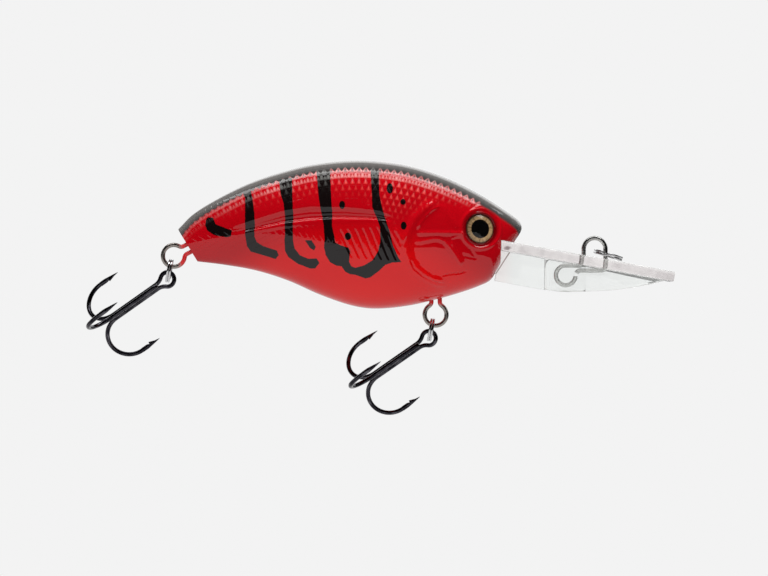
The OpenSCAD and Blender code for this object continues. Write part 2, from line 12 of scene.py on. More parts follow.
import bmesh
import bpy
import numpy as np
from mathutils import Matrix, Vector

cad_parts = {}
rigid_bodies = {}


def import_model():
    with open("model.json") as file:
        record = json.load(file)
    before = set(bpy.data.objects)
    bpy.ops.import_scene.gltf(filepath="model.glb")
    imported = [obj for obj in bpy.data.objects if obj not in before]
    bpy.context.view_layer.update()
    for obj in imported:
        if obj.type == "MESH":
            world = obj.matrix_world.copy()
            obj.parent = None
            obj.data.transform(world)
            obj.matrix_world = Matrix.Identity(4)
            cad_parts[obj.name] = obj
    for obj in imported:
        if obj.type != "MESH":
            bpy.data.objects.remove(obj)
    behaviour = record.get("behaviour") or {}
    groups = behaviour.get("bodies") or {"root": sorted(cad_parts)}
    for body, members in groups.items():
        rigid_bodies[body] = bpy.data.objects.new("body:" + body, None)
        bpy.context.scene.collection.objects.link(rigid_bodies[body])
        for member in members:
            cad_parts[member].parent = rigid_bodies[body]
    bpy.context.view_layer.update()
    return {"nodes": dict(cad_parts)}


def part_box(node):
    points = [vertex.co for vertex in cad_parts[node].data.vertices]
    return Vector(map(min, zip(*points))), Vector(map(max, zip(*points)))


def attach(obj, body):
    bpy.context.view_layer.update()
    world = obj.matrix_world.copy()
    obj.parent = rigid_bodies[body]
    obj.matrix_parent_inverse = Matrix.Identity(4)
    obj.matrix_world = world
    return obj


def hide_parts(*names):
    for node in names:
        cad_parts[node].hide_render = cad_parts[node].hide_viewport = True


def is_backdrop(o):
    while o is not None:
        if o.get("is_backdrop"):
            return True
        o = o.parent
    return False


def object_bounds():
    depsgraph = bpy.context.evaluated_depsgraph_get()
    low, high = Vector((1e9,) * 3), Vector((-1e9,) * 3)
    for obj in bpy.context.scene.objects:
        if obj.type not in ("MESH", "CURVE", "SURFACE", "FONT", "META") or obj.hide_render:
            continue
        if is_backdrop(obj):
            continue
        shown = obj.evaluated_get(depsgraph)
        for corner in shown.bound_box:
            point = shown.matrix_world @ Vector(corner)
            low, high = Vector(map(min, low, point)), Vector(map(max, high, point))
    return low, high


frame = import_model()

# %% [markdown]
# ## The body's own ruler
# The CAD shell tells how long, high and wide the body is and where it lies. One function turns a
# point on the body's ruler (tail at 0, middle height at 0) into the frame's metres.

# %% The ruler
shell_low, shell_high = (np.array(c) * 1000 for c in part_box("left_body_shell"))
body_l = 65.2
body_h = shell_high[2] - shell_low[2]
body_w = 15.6
tail_x = shell_high[0] - body_l
middle_z = shell_low[2] + 0.5 * body_h
ruler = np.array([tail_x, 0, middle_z])


def to_frame(points):
    """Body millimetres to frame metres."""
    return (np.asarray(points, dtype=float) + ruler) / 1000


print("body:", round(body_l, 1), "mm long,", round(float(body_h), 1), "mm high")

# %% [markdown]
# ## Lines that shape the body
# A lure maker carves a master from a side outline and a top outline. Each outline here is a few
# points as shares of the length and height, joined by a smooth curve, so the form stays fair.

# %% Outlines
back_line = [(0, 0.039), (0.041, 0.135), (0.11, 0.237), (0.204, 0.345), (0.298, 0.42), (0.391, 0.473),
             (0.508, 0.5), (0.613, 0.487), (0.693, 0.452), (0.787, 0.377), (0.88, 0.27), (0.949, 0.168),
             (0.985, 0.108), (0.996, 0.08), (1, 0.058)]
belly_line = [(0, -0.165), (0.055, -0.181), (0.133, -0.203), (0.227, -0.242), (0.32, -0.31),
              (0.414, -0.406), (0.508, -0.48), (0.577, -0.5), (0.67, -0.48), (0.764, -0.43),
              (0.833, -0.383), (0.88, -0.343), (0.91, -0.306), (0.926, -0.25), (0.945, -0.17),
              (0.983, -0.034), (0.996, 0.012), (1, 0.034)]
side_line = [(0, 0.17), (0.055, 0.27), (0.133, 0.42), (0.227, 0.6), (0.32, 0.76), (0.414, 0.89),
             (0.508, 0.97), (0.6, 1), (0.7, 0.98), (0.8, 0.9), (0.88, 0.77), (0.94, 0.6),
             (0.98, 0.42), (0.996, 0.26), (1, 0.16)]
squareness = 2.35
tail_lean = math.tan(math.radians(31))
lip_slope = math.tan(math.radians(10.4))
chin_x = 0.9387 * body_l
lip_root_z = -0.0363 * body_h


def fair(line, x):
    """Smooth curve through an outline's points, for an array of places along it."""
    px, py = np.array(line).T
    x = np.asarray(x, dtype=float)
    i = np.clip(np.searchsorted(px, x, side="right") - 1, 0, len(px) - 2)
    ends = np.arange(len(px))
    before, after = np.maximum(ends - 1, 0), np.minimum(ends + 1, len(px) - 1)
    lean = (py[after] - py[before]) / (px[after] - px[before])
    d = px[i + 1] - px[i]
    t = (x - px[i]) / d
    return ((1 + 2 * t) * (1 - t) ** 2 * py[i] + t * (1 - t) ** 2 * d * lean[i]
            + t * t * (3 - 2 * t) * py[i + 1] + t * t * (t - 1) * d * lean[i + 1])


def back_z(x):
    return body_h * fair(back_line, x / body_l)


def belly_z(x):
    return body_h * fair(belly_line, x / body_l)


def half_width(x):
    return body_w / 2 * fair(side_line, x / body_l)


def lip_top(x):
    return lip_root_z - (x - chin_x) * lip_slope


def tail_cut_x(z):
    """Place of the tail's slanting end face at a height."""
    return (back_z(np.array(0.0)) - z) * tail_lean


def section(x):
    """Middle height and half height of the body's section."""
    return (back_z(x) + belly_z(x)) / 2, (back_z(x) - belly_z(x)) / 2


def side_y(x, z):
    middle, half = section(x)
    return half_width(x) * (1 - np.abs((z - middle) / half) ** squareness) ** (1 / squareness)


print("widest section:", round(2 * float(half_width(np.array(0.6 * body_l))), 1), "mm")

# %% [markdown]
# ## Mesh helpers
# Most pieces start as arrays of points. One helper turns them into a mesh object and stores values
# such as a distance on its points, and the others join rows or rings of points with faces.

# %% Helpers for meshes
def add_to_scene(name, data, place=(0, 0, 0)):
    """A new object for a mesh, a light or a camera."""
    thing = bpy.data.objects.new(name, data)
    thing.location = place
    bpy.context.scene.collection.objects.link(thing)
    return thing


def make_piece(name, points, faces, attributes=None):
    mesh = bpy.data.meshes.new(name)
    mesh.from_pydata(to_frame(points).tolist(), [], [list(map(int, f)) for f in faces])
    mesh.polygons.foreach_set("use_smooth", [True] * len(mesh.polygons))
    for key, values in (attributes or {}).items():
        stored_on = mesh.attributes.new(key, "FLOAT", "POINT")
        stored_on.data.foreach_set("value", np.asarray(values, dtype=np.float32))
    mesh.update()
    return add_to_scene(name, mesh)


def grid_faces(rows, columns, first=0, wrap=False, flip=False):
    """Quads between rows of points that lie one after another in an array."""
    r, c = np.meshgrid(np.arange(rows - 1), np.arange(columns if wrap else columns - 1), indexing="ij")
    d = (c + 1) % columns
    quads = np.stack([r * columns + c, (r + 1) * columns + c, (r + 1) * columns + d, r * columns + d], -1)
    quads = quads.reshape(-1, 4) + first
    return quads[:, ::-1] if flip else quads


def tube_faces(rings, sides, flip=False):
    """Faces of a tube of rings, with a flat face at each end."""
    faces = grid_faces(rings, sides, wrap=True).tolist()
    faces += [list(range(sides)), [(rings - 1) * sides + k for k in range(sides)][::-1]]
    return [face[::-1] for face in faces] if flip else faces


def face_outward(piece):
    """Turn every face of a closed mesh to the outside."""
    mesh = bmesh.new()
    mesh.from_mesh(piece.data)
    bmesh.ops.recalc_face_normals(mesh, faces=mesh.faces)
    mesh.to_mesh(piece.data)
    mesh.free()


def stand_in(piece, node, body, finish):
    """Give a piece its finish, and put it in the place of a CAD node, on that node's body."""
    piece.data.materials.append(finish.material)
    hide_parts(node)
    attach(piece, body)


def unit(v):
    return v / np.linalg.norm(v, axis=-1, keepdims=True)


print("mesh helpers ready")

# %% [markdown]
# ## Sweeping wire
# Hooks, rings and loops are all bent wire. A sweep is how wire is thought of at the bench: a path and
# a gauge. The section is carried along the path with as little twist as possible.

# %% Helpers for wire
def wire_frames(path):
    """Two directions across a path at each of its points, turning as little as possible."""
    ahead = unit(np.gradient(path, axis=0))
    across = np.zeros_like(path)
    start = np.array([0, 1.0, 0]) if abs(ahead[0, 1]) < 0.9 else np.array([1.0, 0, 0])
    across[0] = unit(start - ahead[0] * (start @ ahead[0]))
    for i in range(1, len(path)):
        v = across[i - 1] - ahead[i] * (across[i - 1] @ ahead[i])
        across[i] = unit(v)
    return ahead, across, np.cross(ahead, across)


def sweep(path, radius, sides=20, shape=None):
    """A closed tube along a path. shape(radii, across, up, angle) may vary the radius round the wire."""
    path = np.asarray(path, dtype=float)
    radius = np.broadcast_to(np.asarray(radius, dtype=float), len(path))
    _, across, up = wire_frames(path)
    angle = np.linspace(0, 2 * math.pi, sides, endpoint=False)
    r = np.repeat(radius[:, None], sides, 1)
    if shape is not None:
        r = shape(r, across, up, angle)
    rings = (path[:, None] + r[..., None] * (np.cos(angle)[None, :, None] * across[:, None]
                                             + np.sin(angle)[None, :, None] * up[:, None]))
    along = np.concatenate([[0], np.cumsum(np.linalg.norm(np.diff(path, axis=0), axis=1))])
    values = {"along": np.repeat(along, sides), "around": np.tile(angle, len(path))}
    return rings.reshape(-1, 3), tube_faces(len(path), sides, flip=True), values


def arc(centre, radius, start, end, plane_x, plane_z, steps):
    """Points on an arc in the plane of two directions, angles in degrees."""
    a = np.radians(np.linspace(start, end, steps))[:, None]
    return np.asarray(centre) + radius * (np.cos(a) * plane_x + np.sin(a) * plane_z)


X, _, Z = np.eye(3)
print("wire helpers ready")

# %% [markdown]
# ## Finishes
# Each finish is a small node tree on one Principled shader. Numbers that are the same all over sit on
# the shader itself. What varies, such as scratches or airbrushed edges, comes from noise or from
# distances stored on the mesh.

# %% A short way to write node trees
class Finish:
    """Builds one material; every helper returns a socket to feed into the next."""

    def __init__(self, name, **shader):
        self.material = bpy.data.materials.new(name)
        self.material.use_nodes = True
        self.tree = self.material.node_tree
        self.shader = self.tree.nodes["Principled BSDF"]
        for key, value in shader.items():
            self.shader.inputs[key.replace("_", " ")].default_value = value

    def node(self, kind, **settings):
        n = self.tree.nodes.new(kind)
        for key, value in settings.items():
            setattr(n, key, value)
        return n

    def feed(self, socket, value):
        if isinstance(value, bpy.types.NodeSocket):
            self.tree.links.new(value, socket)
        else:
            socket.default_value = value

    def stored(self, name):
        return self.node("ShaderNodeAttribute", attribute_name=name).outputs["Fac"]

    def place(self):
        return self.node("ShaderNodeTexCoord").outputs["Object"]

    def axes(self):
        """The place's x, y and z, one socket each."""
        n = self.node("ShaderNodeSeparateXYZ")
        self.feed(n.inputs[0], self.place())
        return n.outputs

    def maths(self, operation, a, b=0.0, c=0.0):
        n = self.node("ShaderNodeMath", operation=operation)
        for socket, value in zip(n.inputs, (a, b, c)):
            self.feed(socket, value)
        return n.outputs[0]

    def times(self, a, b):
        return self.maths("MULTIPLY", a, b)

    def times_plus(self, a, b, c):
        return self.maths("MULTIPLY_ADD", a, b, c)

    def less(self, a, b):
        return self.maths("SUBTRACT", a, b)

    def over(self, a, b):
        return self.maths("DIVIDE", a, b)

    def fade(self, value, start, end, low=0.0, high=1.0):
        """Goes smoothly from low to high while the value goes from start to end."""
        n = self.node("ShaderNodeMapRange", interpolation_type="SMOOTHSTEP")
        for key, v in (("Value", value), ("From Min", start), ("From Max", end),
                       ("To Min", low), ("To Max", high)):
            self.feed(n.inputs[key], v)
        return n.outputs["Result"]

    def noise(self, scale, detail=3.0, vector=None, roughness=0.5):
        n = self.node("ShaderNodeTexNoise")
        self.feed(n.inputs["Vector"], vector or self.place())
        n.inputs["Scale"].default_value = scale
        n.inputs["Detail"].default_value = detail
        n.inputs["Roughness"].default_value = roughness
        return n.outputs["Fac"]

    def vector(self, x, y, z=0.0):
        n = self.node("ShaderNodeCombineXYZ")
        for socket, value in zip(n.inputs, (x, y, z)):
            self.feed(socket, value)
        return n.outputs[0]

    def blend(self, share, a, b):
        n = self.node("ShaderNodeMix", data_type="RGBA")
        self.feed(n.inputs["Factor"], share)
        self.feed(n.inputs["A"], a)
        self.feed(n.inputs["B"], b)
        return n.outputs["Result"]

    def bump(self, height, distance, strength=1.0):
        n = self.node("ShaderNodeBump")
        self.feed(n.inputs["Height"], height)
        n.inputs["Distance"].default_value = distance
        n.inputs["Strength"].default_value = strength
        self.feed(self.shader.inputs["Normal"], n.outputs["Normal"])
        return n.outputs["Normal"]

    def colour(self, value):
        self.feed(self.shader.inputs["Base Color"], value)

    def rough(self, value):
        self.feed(self.shader.inputs["Roughness"], value)


print("finish helper ready")

# %% [markdown]
# ## Wire finishes
# All the wire is drawn metal, so it has fine streaks along its length. Plated rings are bright, the
# line tie is greyer, and the hooks are nearly black, with light streaks in their colour as painted glints.

# %% Metal finishes
def drawn_metal(name, dark, light, rough_low, rough_high, streak=1.0, contrast=(0.0, 1.0)):
    """Wire finish: fine streaks along the wire and small differences of polish; a high contrast makes painted
    glints.
    """
    f = Finish(name, Metallic=1.0)
    lines = f.noise(1.0, 4.0, f.vector(f.times(f.stored("along"), 0.6),
                                       f.times(f.stored("around"), 5.0 * streak)))
    clouds = f.noise(420.0, 3.0)
    mixed = f.times_plus(lines, 0.6, f.times(clouds, 0.4))
    f.colour(f.blend(f.fade(mixed, *contrast), dark, light))
    f.rough(f.fade(lines, 0.3, 0.7, rough_low, rough_high))
    f.bump(lines, 0.00001, 0.4)
    return f


ring_nickel = drawn_metal("ring_nickel", (0.5, 0.5, 0.51, 1), (0.86, 0.86, 0.87, 1), 0.12, 0.26)
tie_steel = drawn_metal("tie_steel", (0.36, 0.36, 0.35, 1), (0.66, 0.66, 0.64, 1), 0.16, 0.32)
# The hooks' light streaks are painted glints on near-black steel.
hook_black_and_glint = drawn_metal("hook_black_and_glint", (0.014, 0.013, 0.018, 1), (0.24, 0.23, 0.26, 1), 0.08, 0.2,
                         contrast=(0.46, 0.72))
print("metal finishes ready")

# %% [markdown]
# ## The painted body: markings
# The dark bars are sprayed through stencils, so each is drawn here as a closed outline, like the hole
# in its stencil. The distance from every point of the skin to the nearest outline is stored on the
# mesh, and the paint turns dark where that distance is negative. Edges stay crisp without a picture.

# %% Stencils
tail_hook = [(5.7, 3.3), (5.4, 2.9), (5.2, 1.8), (5.6, 0.8), (7.0, -0.1), (9.3, -0.5), (10.1, -0.3),
             (10.3, 0.8), (8.4, 1.5), (7.2, 2.0), (6.7, 3.2)]
first_bar = [(12.1, 8.9), (12.8, 6.9), (12.8, 0.1), (13.2, -2.2), (13.9, -3.2), (16.3, -3.9),
             (18.6, -4.6), (19.2, -3.9), (18.8, -3.0), (16.3, -2.2), (15.0, -1.4), (14.6, -0.3),
             (14.6, 3.9), (14.2, 6.9), (13.6, 9.5)]
second_bar = [(19.2, 10.5), (19.6, 7.5), (20.1, 6.0), (20.3, 4.3), (20.4, -0.1), (20.3, -1.2),
              (20.4, -3.1), (21.1, -4.3), (22.8, -5.5), (25.1, -6.4), (26.1, -6.4), (26.9, -5.4),
              (26.4, -4.5), (24.8, -4.6), (23.2, -3.9), (22.2, -2.6), (21.9, -1.1), (21.9, 3.9),
              (21.7, 10.8)]
claw = [(26.3, 12.4), (26.7, 7.6), (27.1, 4.9), (27.7, 1.9), (27.9, -0.8), (27.8, -2.5), (28.1, -3.9),
        (28.9, -5.2), (30.2, -5.9), (31.1, -6.0), (31.8, -7.0), (32.7, -7.5), (33.7, -7.6),
        (35.6, -8.3), (36.5, -8.1), (38.0, -7.0), (39.4, -5.7), (40.7, -5.3), (42.4, -5.2),
        (41.8, -4.4), (40.8, -2.1), (40.1, 0.8), (39.2, 3.4), (38.7, 5.3), (38.2, 7.6), (38.1, 13.4),
        (36.5, 13.4), (36.8, 7.6), (36.9, 5.1), (37.8, 3.0), (38.4, 1.3), (38.4, -1.3), (38.0, -3.2),
        (36.9, -4.9), (35.4, -5.8), (33.7, -6.3), (32.9, -6.0), (32.5, -5.1), (32.7, -3.2),
        (32.4, -2.5), (30.8, -2.0), (29.9, -1.5), (29.7, -0.2), (29.3, 1.5), (29.3, 4.4), (29.1, 7.6),
        (28.9, 12.4)]
comma = [(24.2, -1.1), (25.4, -1.1), (26.2, -2.3), (25.9, -3.0), (25.1, -2.5)]


def spot(x, z, wide, tall, corners=14):
    a = np.linspace(0, 2 * math.pi, corners, endpoint=False)
    return list(zip(x + wide * np.cos(a), z + tall * np.sin(a)))


spots = [spot(31.2, 5.6, 0.55, 0.78), spot(32.3, -0.35, 0.6, 0.72), spot(40.2, 8.7, 0.6, 1.0),
         spot(42.7, 6.15, 0.5, 0.58), spot(42.8, 1.65, 0.55, 0.75)]
stencils = [tail_hook, first_bar, second_bar, claw, comma] + spots


far_off = 99.0


def to_stretch(x, z, start, end):
    """Distance to one straight stretch, and the share of it at the nearest place."""
    (x0, z0), (x1, z1) = start, end
    dx, dz = x1 - x0, z1 - z0
    t = np.clip(((x - x0) * dx + (z - z0) * dz) / (dx * dx + dz * dz), 0, 1)
    return np.hypot(x - x0 - t * dx, z - z0 - t * dz), t


def from_outline(outline, x, z):
    """Distance to a closed outline: negative inside it."""
    nearest = np.full(x.shape, far_off)
    inside = np.zeros(x.shape, dtype=bool)
    for start, end in zip(outline, outline[1:] + outline[:1]):
        nearest = np.minimum(nearest, to_stretch(x, z, start, end)[0])
        (x0, z0), (x1, z1) = start, end
        if z1 != z0:
            inside ^= ((z0 > z) != (z1 > z)) & (x < x0 + (z - z0) * (x1 - x0) / (z1 - z0))
    return np.where(inside, -nearest, nearest)


print(len(stencils), "stencils")

# %% [markdown]
# ## The painted body: relief
# Moulded detail makes a plain side read as a fish: a long groove down the flank, a fan of fin rays,
# gill plates, and a socket round the eye. Each one is a line with a width and a height, added to the
# skin. The ends of every line fade out, as a carver's cut does.

# %% Lines of relief
def along_line(line, x, z):
    """Distance from a line, and the share of its length at the nearest point."""
    line = np.array(line, dtype=float)
    lengths = np.hypot(*np.diff(line, axis=0).T)
    total = lengths.sum()
    nearest, share, done = np.full(x.shape, far_off), np.zeros(x.shape), 0.0
    for start, end, length in zip(line, line[1:], lengths):
        d, t = to_stretch(x, z, start, end)
        closer = d < nearest
        share = np.where(closer, (done + t * length) / total, share)
        nearest = np.minimum(nearest, d)
        done += length
    return nearest, share


def rise(value, start, end):
    t = np.clip((value - start) / (end - start), 0, 1)
    return t * t * (3 - 2 * t)


def cut(line, width, tall, x, z, fade):
    """A rounded ridge along a line, or a groove where tall is below zero; fade is its ends' share."""
    d, share = along_line(line, x, z)
    return tall * np.exp(-(d / width) ** 2) * rise(share, 0, fade) * rise(1 - share, 0, fade)


gill_ridge = [(49.6, 6.3), (46.9, 4.9), (45.0, 3.0), (43.8, 0.8), (43.2, -1.3), (43.2, -3.4),
              (44.0, -5.5), (45.7, -7.2), (48.2, -8.5), (51.4, -9.4)]
gill_crease = [(43.9, -4.4), (44.8, -6.4), (46.5, -7.8), (48.4, -8.8), (50.9, -9.4)]
gill_crescent = [(50.0, 5.6), (48.2, 4.6), (46.9, 3.4), (46.0, 2.1), (45.3, 0.8)]
gill_fold = [(45.6, -5.6), (47.3, -7.0), (48.8, -8.0)]
cheek_bar = [(45.2, 0.3), (50, 0.3), (54.6, 0.2)]
cheek_fold = [(44.8, -1.4), (46.1, -1.3), (48.4, -0.85), (49.4, -0.85), (50.5, -1.3), (51.4, -2.3),
              (52.6, -4.2), (53.8, -6.2)]
jaw_strut = [(51.6, -0.9), (52.4, -3.0), (54.0, -5.8)]
cheek_link = [(51.6, -0.9), (52.6, -0.4), (54.5, -0.2)]
jaw_notch = [(55.2, -2.5), (56.4, -4.5), (54.2, -4.1)]
chin_crease = [(49.9, -7.75), (52.4, -7.4), (53.5, -7.35), (55.2, -6.8)]
brow = [(58.6, 6.0), (61.0, 4.4), (63.6, 2.6)]
cheek_swell = [(49.8, 6.0), (51.8, 3.0), (53.4, 0.8)]
shoulder_slit = [(38.6, 2.6), (40.4, -0.4), (42.4, -4.3)]
shoulder_vee = [(41.0, 1.4), (42.6, -1.1), (43.6, 0.6)]
fin_rays = [[(30.7 + 1.39 * k, 1.0 + 0.12 * k), (33.2 + 1.39 * k, -4.6 - 0.1 * k)] for k in range(7)]
eye_x, eye_z, eye_r = 0.881 * body_l, 0.0406 * body_h, 2.7
channel_top = [(9.0, 1.0), (10.2, 1.4), (14.8, 2.8), (20.1, 4.5), (25, 5.25), (32, 5.15), (38, 4.45),
               (42, 3.3)]
channel_low = [(9.0, 0.2), (11.2, 0.05), (15, 0.95), (20.1, 2.0), (25, 2.55), (29, 2.85), (36.5, 2.85),
               (42, 2.2)]
# how deep the channel is on the way down from its top edge to its lower one
channel_form = [(-0.15, 0), (0.0, -0.02), (0.36, -0.36), (0.52, -0.37), (0.64, -0.47), (0.78, -0.48),
                (0.98, 0.0), (1.1, 0.05), (1.4, 0.0)]
print(len(fin_rays), "fin rays")

# %% [markdown]
# ## The painted body: how high each line stands
# A table gives every line its width, its height and how far its ends fade, in one place, so a ridge
# can be made bolder without touching the code that carves it.

# %% Carve the lines
eye_ring_in, eye_ring_out = 3.0, 3.75
carved = [(gill_ridge, 0.85, 0.5, 0.1), (gill_crescent, 0.26, 0.2, 0.18), (gill_crease, 0.24, -0.3, 0.18),
          (gill_fold, 0.16, -0.08, 0.18), (cheek_bar, 0.34, 0.3, 0.08), (cheek_fold, 0.28, 0.26, 0.08),
          (jaw_strut, 0.42, 0.28, 0.18), (cheek_link, 0.24, 0.16, 0.18), (jaw_notch, 0.2, -0.16, 0.1),
          (chin_crease, 0.18, -0.22, 0.18), (brow, 0.5, 0.16, 0.18), (cheek_swell, 0.6, 0.12, 0.18),
          (shoulder_vee, 0.3, 0.16, 0.18), (shoulder_slit, 0.24, -0.16, 0.18)]
carved += [(ray, 0.2, -0.19, 0.18) for ray in fin_rays]


def side_channel(x, z):
    """A long groove with a soft upper side, a step inside it and a crisp lower ledge."""
    top = np.interp(x, *np.array(channel_top).T)
    low = np.interp(x, *np.array(channel_low).T)
    share = (top - z) / (top - low)
    ends = rise(x, 9.3, 16) * rise(42.0 - x, 0, 5)
    return np.interp(share, *np.array(channel_form).T) * ends


def relief(x, z):
    h = side_channel(x, z)
    for line, width, tall, fade in carved:
        h += cut(line, width, tall, x, z, fade)
    away = np.hypot(x - eye_x, z - eye_z)
    h -= 0.32 * np.exp(-((away - eye_ring_in) / 0.42) ** 2)
    return h + 0.18 * np.exp(-((away - eye_ring_out) / 0.32) ** 2)


print(len(carved), "lines of relief")

# %% [markdown]
# ## The painted body: skin
# Each half shell gets one skin of closely spaced stations. A fine grid is heavier than a bump map,
# but real relief catches the light at the outline and in the reflections. The grid's lines follow
# the tail cut and the notch over the lip, so those edges are clean. Close to the eye the skin sinks
# to a flat seat.

# %% Grid of the skin
rear_stations, nose_stations, low_rows, high_rows = 520, 40, 120, 170
s = np.linspace(0, 1, rear_stations)
x_rear = chin_x * (s + 0.35 * np.sin(math.pi * s) * np.cos(math.pi * s) / math.pi)
x_lines = np.concatenate([x_rear, np.linspace(chin_x, body_l, nose_stations + 1)[1:]])
notch_station = len(x_rear) - 1


def angle_at(x, z):
    """Angle round the section at which its outline reaches a height."""
    middle, half = section(x)
    v = np.clip((z - middle) / half, -1, 1)
    return np.arcsin(np.sign(v) * np.abs(v) ** (squareness / 2))


def section_point(x, angle):
    middle, half = section(x)
    y = half_width(x) * np.abs(np.cos(angle)) ** (2 / squareness)
    return y, middle + half * np.sign(np.sin(angle)) * np.abs(np.sin(angle)) ** (2 / squareness)


split = angle_at(np.maximum(x_lines, chin_x), lip_top(np.maximum(x_lines, chin_x)) + 0.05)
low_share = np.sin(np.linspace(0, 1, low_rows) * math.pi / 2)
high_share = np.linspace(0, 1, high_rows)
angles = np.concatenate([-math.pi / 2 + (split[:, None] + math.pi / 2) * low_share[None, :-1],
                         split[:, None] + (math.pi / 2 - split[:, None]) * high_share[None, :]], 1)
rows = angles.shape[1]
straight = np.repeat(x_lines[:, None], rows, 1)
blend_in = rise(straight, 0.5 * body_l, chin_x)
skin_x = straight
for _ in range(4):
    start = tail_cut_x(section_point(skin_x, angles)[1])
    skin_x = start + (x_lines[:, None] / body_l) * (body_l - start)
    skin_x[notch_station:] = straight[notch_station:]
    skin_x = skin_x * (1 - blend_in) + straight * blend_in
skin_y, skin_z = section_point(skin_x, angles)
skin = np.stack([skin_x, skin_y, skin_z], -1)
print("skin grid:", skin.shape[0], "x", skin.shape[1])

# %% [markdown]
# ## The painted body: relief and eye seat
# The relief is pushed out along each point's own normal, so a ridge stands square on the curved side.
# It dies out at the seam, where the halves are glued, and at the tail.

# %% Push the relief into the skin
d_along, d_up = np.gradient(skin, axis=0), np.gradient(skin, axis=1)
normal = unit(np.cross(d_up, d_along) + np.array([0, 1e-9, 0]))
normal[..., 1] = np.abs(normal[..., 1])
seam_dip = 0.07
height = relief(skin_x, skin_z) * rise(skin_y, 0.0, 1.2) * rise(skin_x - tail_cut_x(skin_z), 0, 1.5)
height -= seam_dip * (1 - rise(skin_y, 0.0, 0.35))
skin = skin + normal * height[..., None]
print("deepest relief:", round(float(height.min()), 2), "mm, highest:", round(float(height.max()), 2), "mm")

# %% [markdown]
# ## The painted body: seat of the eye
# A glued-in eye needs a flat floor square to its own axis, which looks a little forward and up.
# Points inside the socket drop straight down that axis, so the socket's wall stays clean.

# %% Seat of the eye
eye_yaw, eye_pitch = math.radians(19), math.radians(6)
eye_axis = np.array([math.sin(eye_yaw) * math.cos(eye_pitch), math.cos(eye_yaw) * math.cos(eye_pitch),
                     math.sin(eye_pitch)])
eye_mid = np.array([eye_x, float(side_y(np.array(eye_x), np.array(eye_z))), eye_z])
dome_seat, eye_floor = 0.75, -1.04
depth = (skin - eye_mid) @ eye_axis
from_axis = np.linalg.norm(skin - eye_mid - depth[..., None] * eye_axis, axis=-1)
collar = -0.34 - 0.9 * np.maximum(0, from_axis - eye_r - 0.45)
near_eye = from_axis < eye_r + 2.2
skin = skin + (np.where(near_eye, np.maximum(collar - depth, 0), 0))[..., None] * eye_axis
depth = (skin - eye_mid) @ eye_axis
sink = 1 - rise(from_axis, eye_r + 0.03, eye_r + 0.2)
skin = skin + (np.minimum(eye_floor - depth, 0) * sink)[..., None] * eye_axis
print("eye floor:", -eye_floor, "mm under the skin")

# %% [markdown]
# ## Distances stored on the skin
# The paint needs to know, at every point, how far it is from a bar, how deep it lies below the back,
# and where it is among the scales. Rows of scales follow the back, so their place is measured along
# the back and down from it.

# %% Measure the skin
bars = np.min([from_outline(outline, skin_x, skin_z) for outline in stencils], axis=0)
back_x = np.linspace(0, body_l, 400)
back_length = np.concatenate([[0], np.cumsum(np.hypot(np.diff(back_x), np.diff(back_z(back_x))))])
back_slope = np.arctan(np.gradient(back_z(back_x), back_x))
slope_here = np.interp(skin_x, back_x, back_slope)
below_back = (back_z(skin_x) - skin_z) * np.cos(slope_here)
scale_along = np.interp(skin_x - below_back * np.sin(slope_here), back_x, back_length)
scale_reach = np.interp(skin_x, [0, 8, 20, 34, 41, 45, 50, 56, 62],
                        [3.0, 4.2, 6.6, 7.6, 12.5, 9.5, 5.4, 3.6, 2.6])
dusk_reach = np.interp(skin_x, [0, 10, 20, 32, 50, 62], [1.35, 1.45, 1.65, 1.85, 1.75, 1.5])
scales = 1 - rise(below_back / scale_reach, 0.3, 1.0)
scales = scales * rise(np.hypot(skin_x - eye_x, skin_z - eye_z), 4.2, 5.2) * (1 - rise(skin_x, 59, 62))
scales = scales * np.interp(skin_x, [0, 8, 18, 30], [0.35, 0.5, 0.8, 1.0])
flank = 0.22 * rise(skin_z, -3.4, -1.6) * (1 - rise(skin_x, 40, 44.5))
scaled = 0.85 * rise(scales, 0.0, 0.3) * rise(below_back, 1.3, 2.1) * np.interp(skin_x, [8, 28], [0.3, 1.0])
ledge = rise(-np.abs(skin_z - 3.0) + 1.4, 0, 0.4) * (skin_x > 12) * (skin_x < 42)
pressed = np.clip(flank + scaled, 0, 1) * (1 - ledge)
stored = {"bars": bars, "below_back": below_back, "scale_along": scale_along, "scales": scales,
          "pressed": pressed, "dusk": below_back / dusk_reach, "socket": from_axis}
print("stored on the skin:", ", ".join(stored))

# %% [markdown]
# ## The painted body: both sides
# Each side gets small flat faces where its half shell is cut: at the tail, over the lip and under the
# snout. The right side is the left one turned over, so its faces are turned too.

# %% Make both sides
def caps(first, side):
    """The tail's flat end, the face over the lip and the underside of the snout."""
    points, faces = [], []

    def strip(edge, inner_y, turned=False, columns=5):
        start = first + len(points)
        inner = edge.copy()
        inner[:, 1] = np.minimum(inner_y, edge[:, 1])
        for t in np.linspace(0, 1, columns):
            points.extend((edge * (1 - t) + inner * t).tolist())
        faces.extend(grid_faces(columns, len(edge), start, flip=(side < 0) != turned).tolist())

    slot_y = 1.45
    strip(skin[0], 0.0)
    strip(skin[notch_station, :low_rows], slot_y, turned=True)
    strip(skin[notch_station:, low_rows - 1][::-1], 0.0)
    return np.array(points), faces


cap_values = {"bars": 9.0, "socket": 9.0, "below_back": 9.0, "dusk": 9.0}


def painted_side(name, side):
    n = skin.shape[0] * rows
    quads = grid_faces(skin.shape[0], rows, flip=side > 0)
    r, c = np.divmod(np.arange(len(quads)), rows - 1)
    quads = quads[~((r >= notch_station) & (c < low_rows - 1))]
    cap_points, cap_faces = caps(n, side)
    points = np.concatenate([skin.reshape(-1, 3), cap_points])
    points[:, 1] *= side
    values = {k: np.concatenate([v.reshape(-1), np.full(len(cap_points), cap_values.get(k, 0.0))])
              for k, v in stored.items()}
    return make_piece(name, points, quads.tolist() + cap_faces, values)


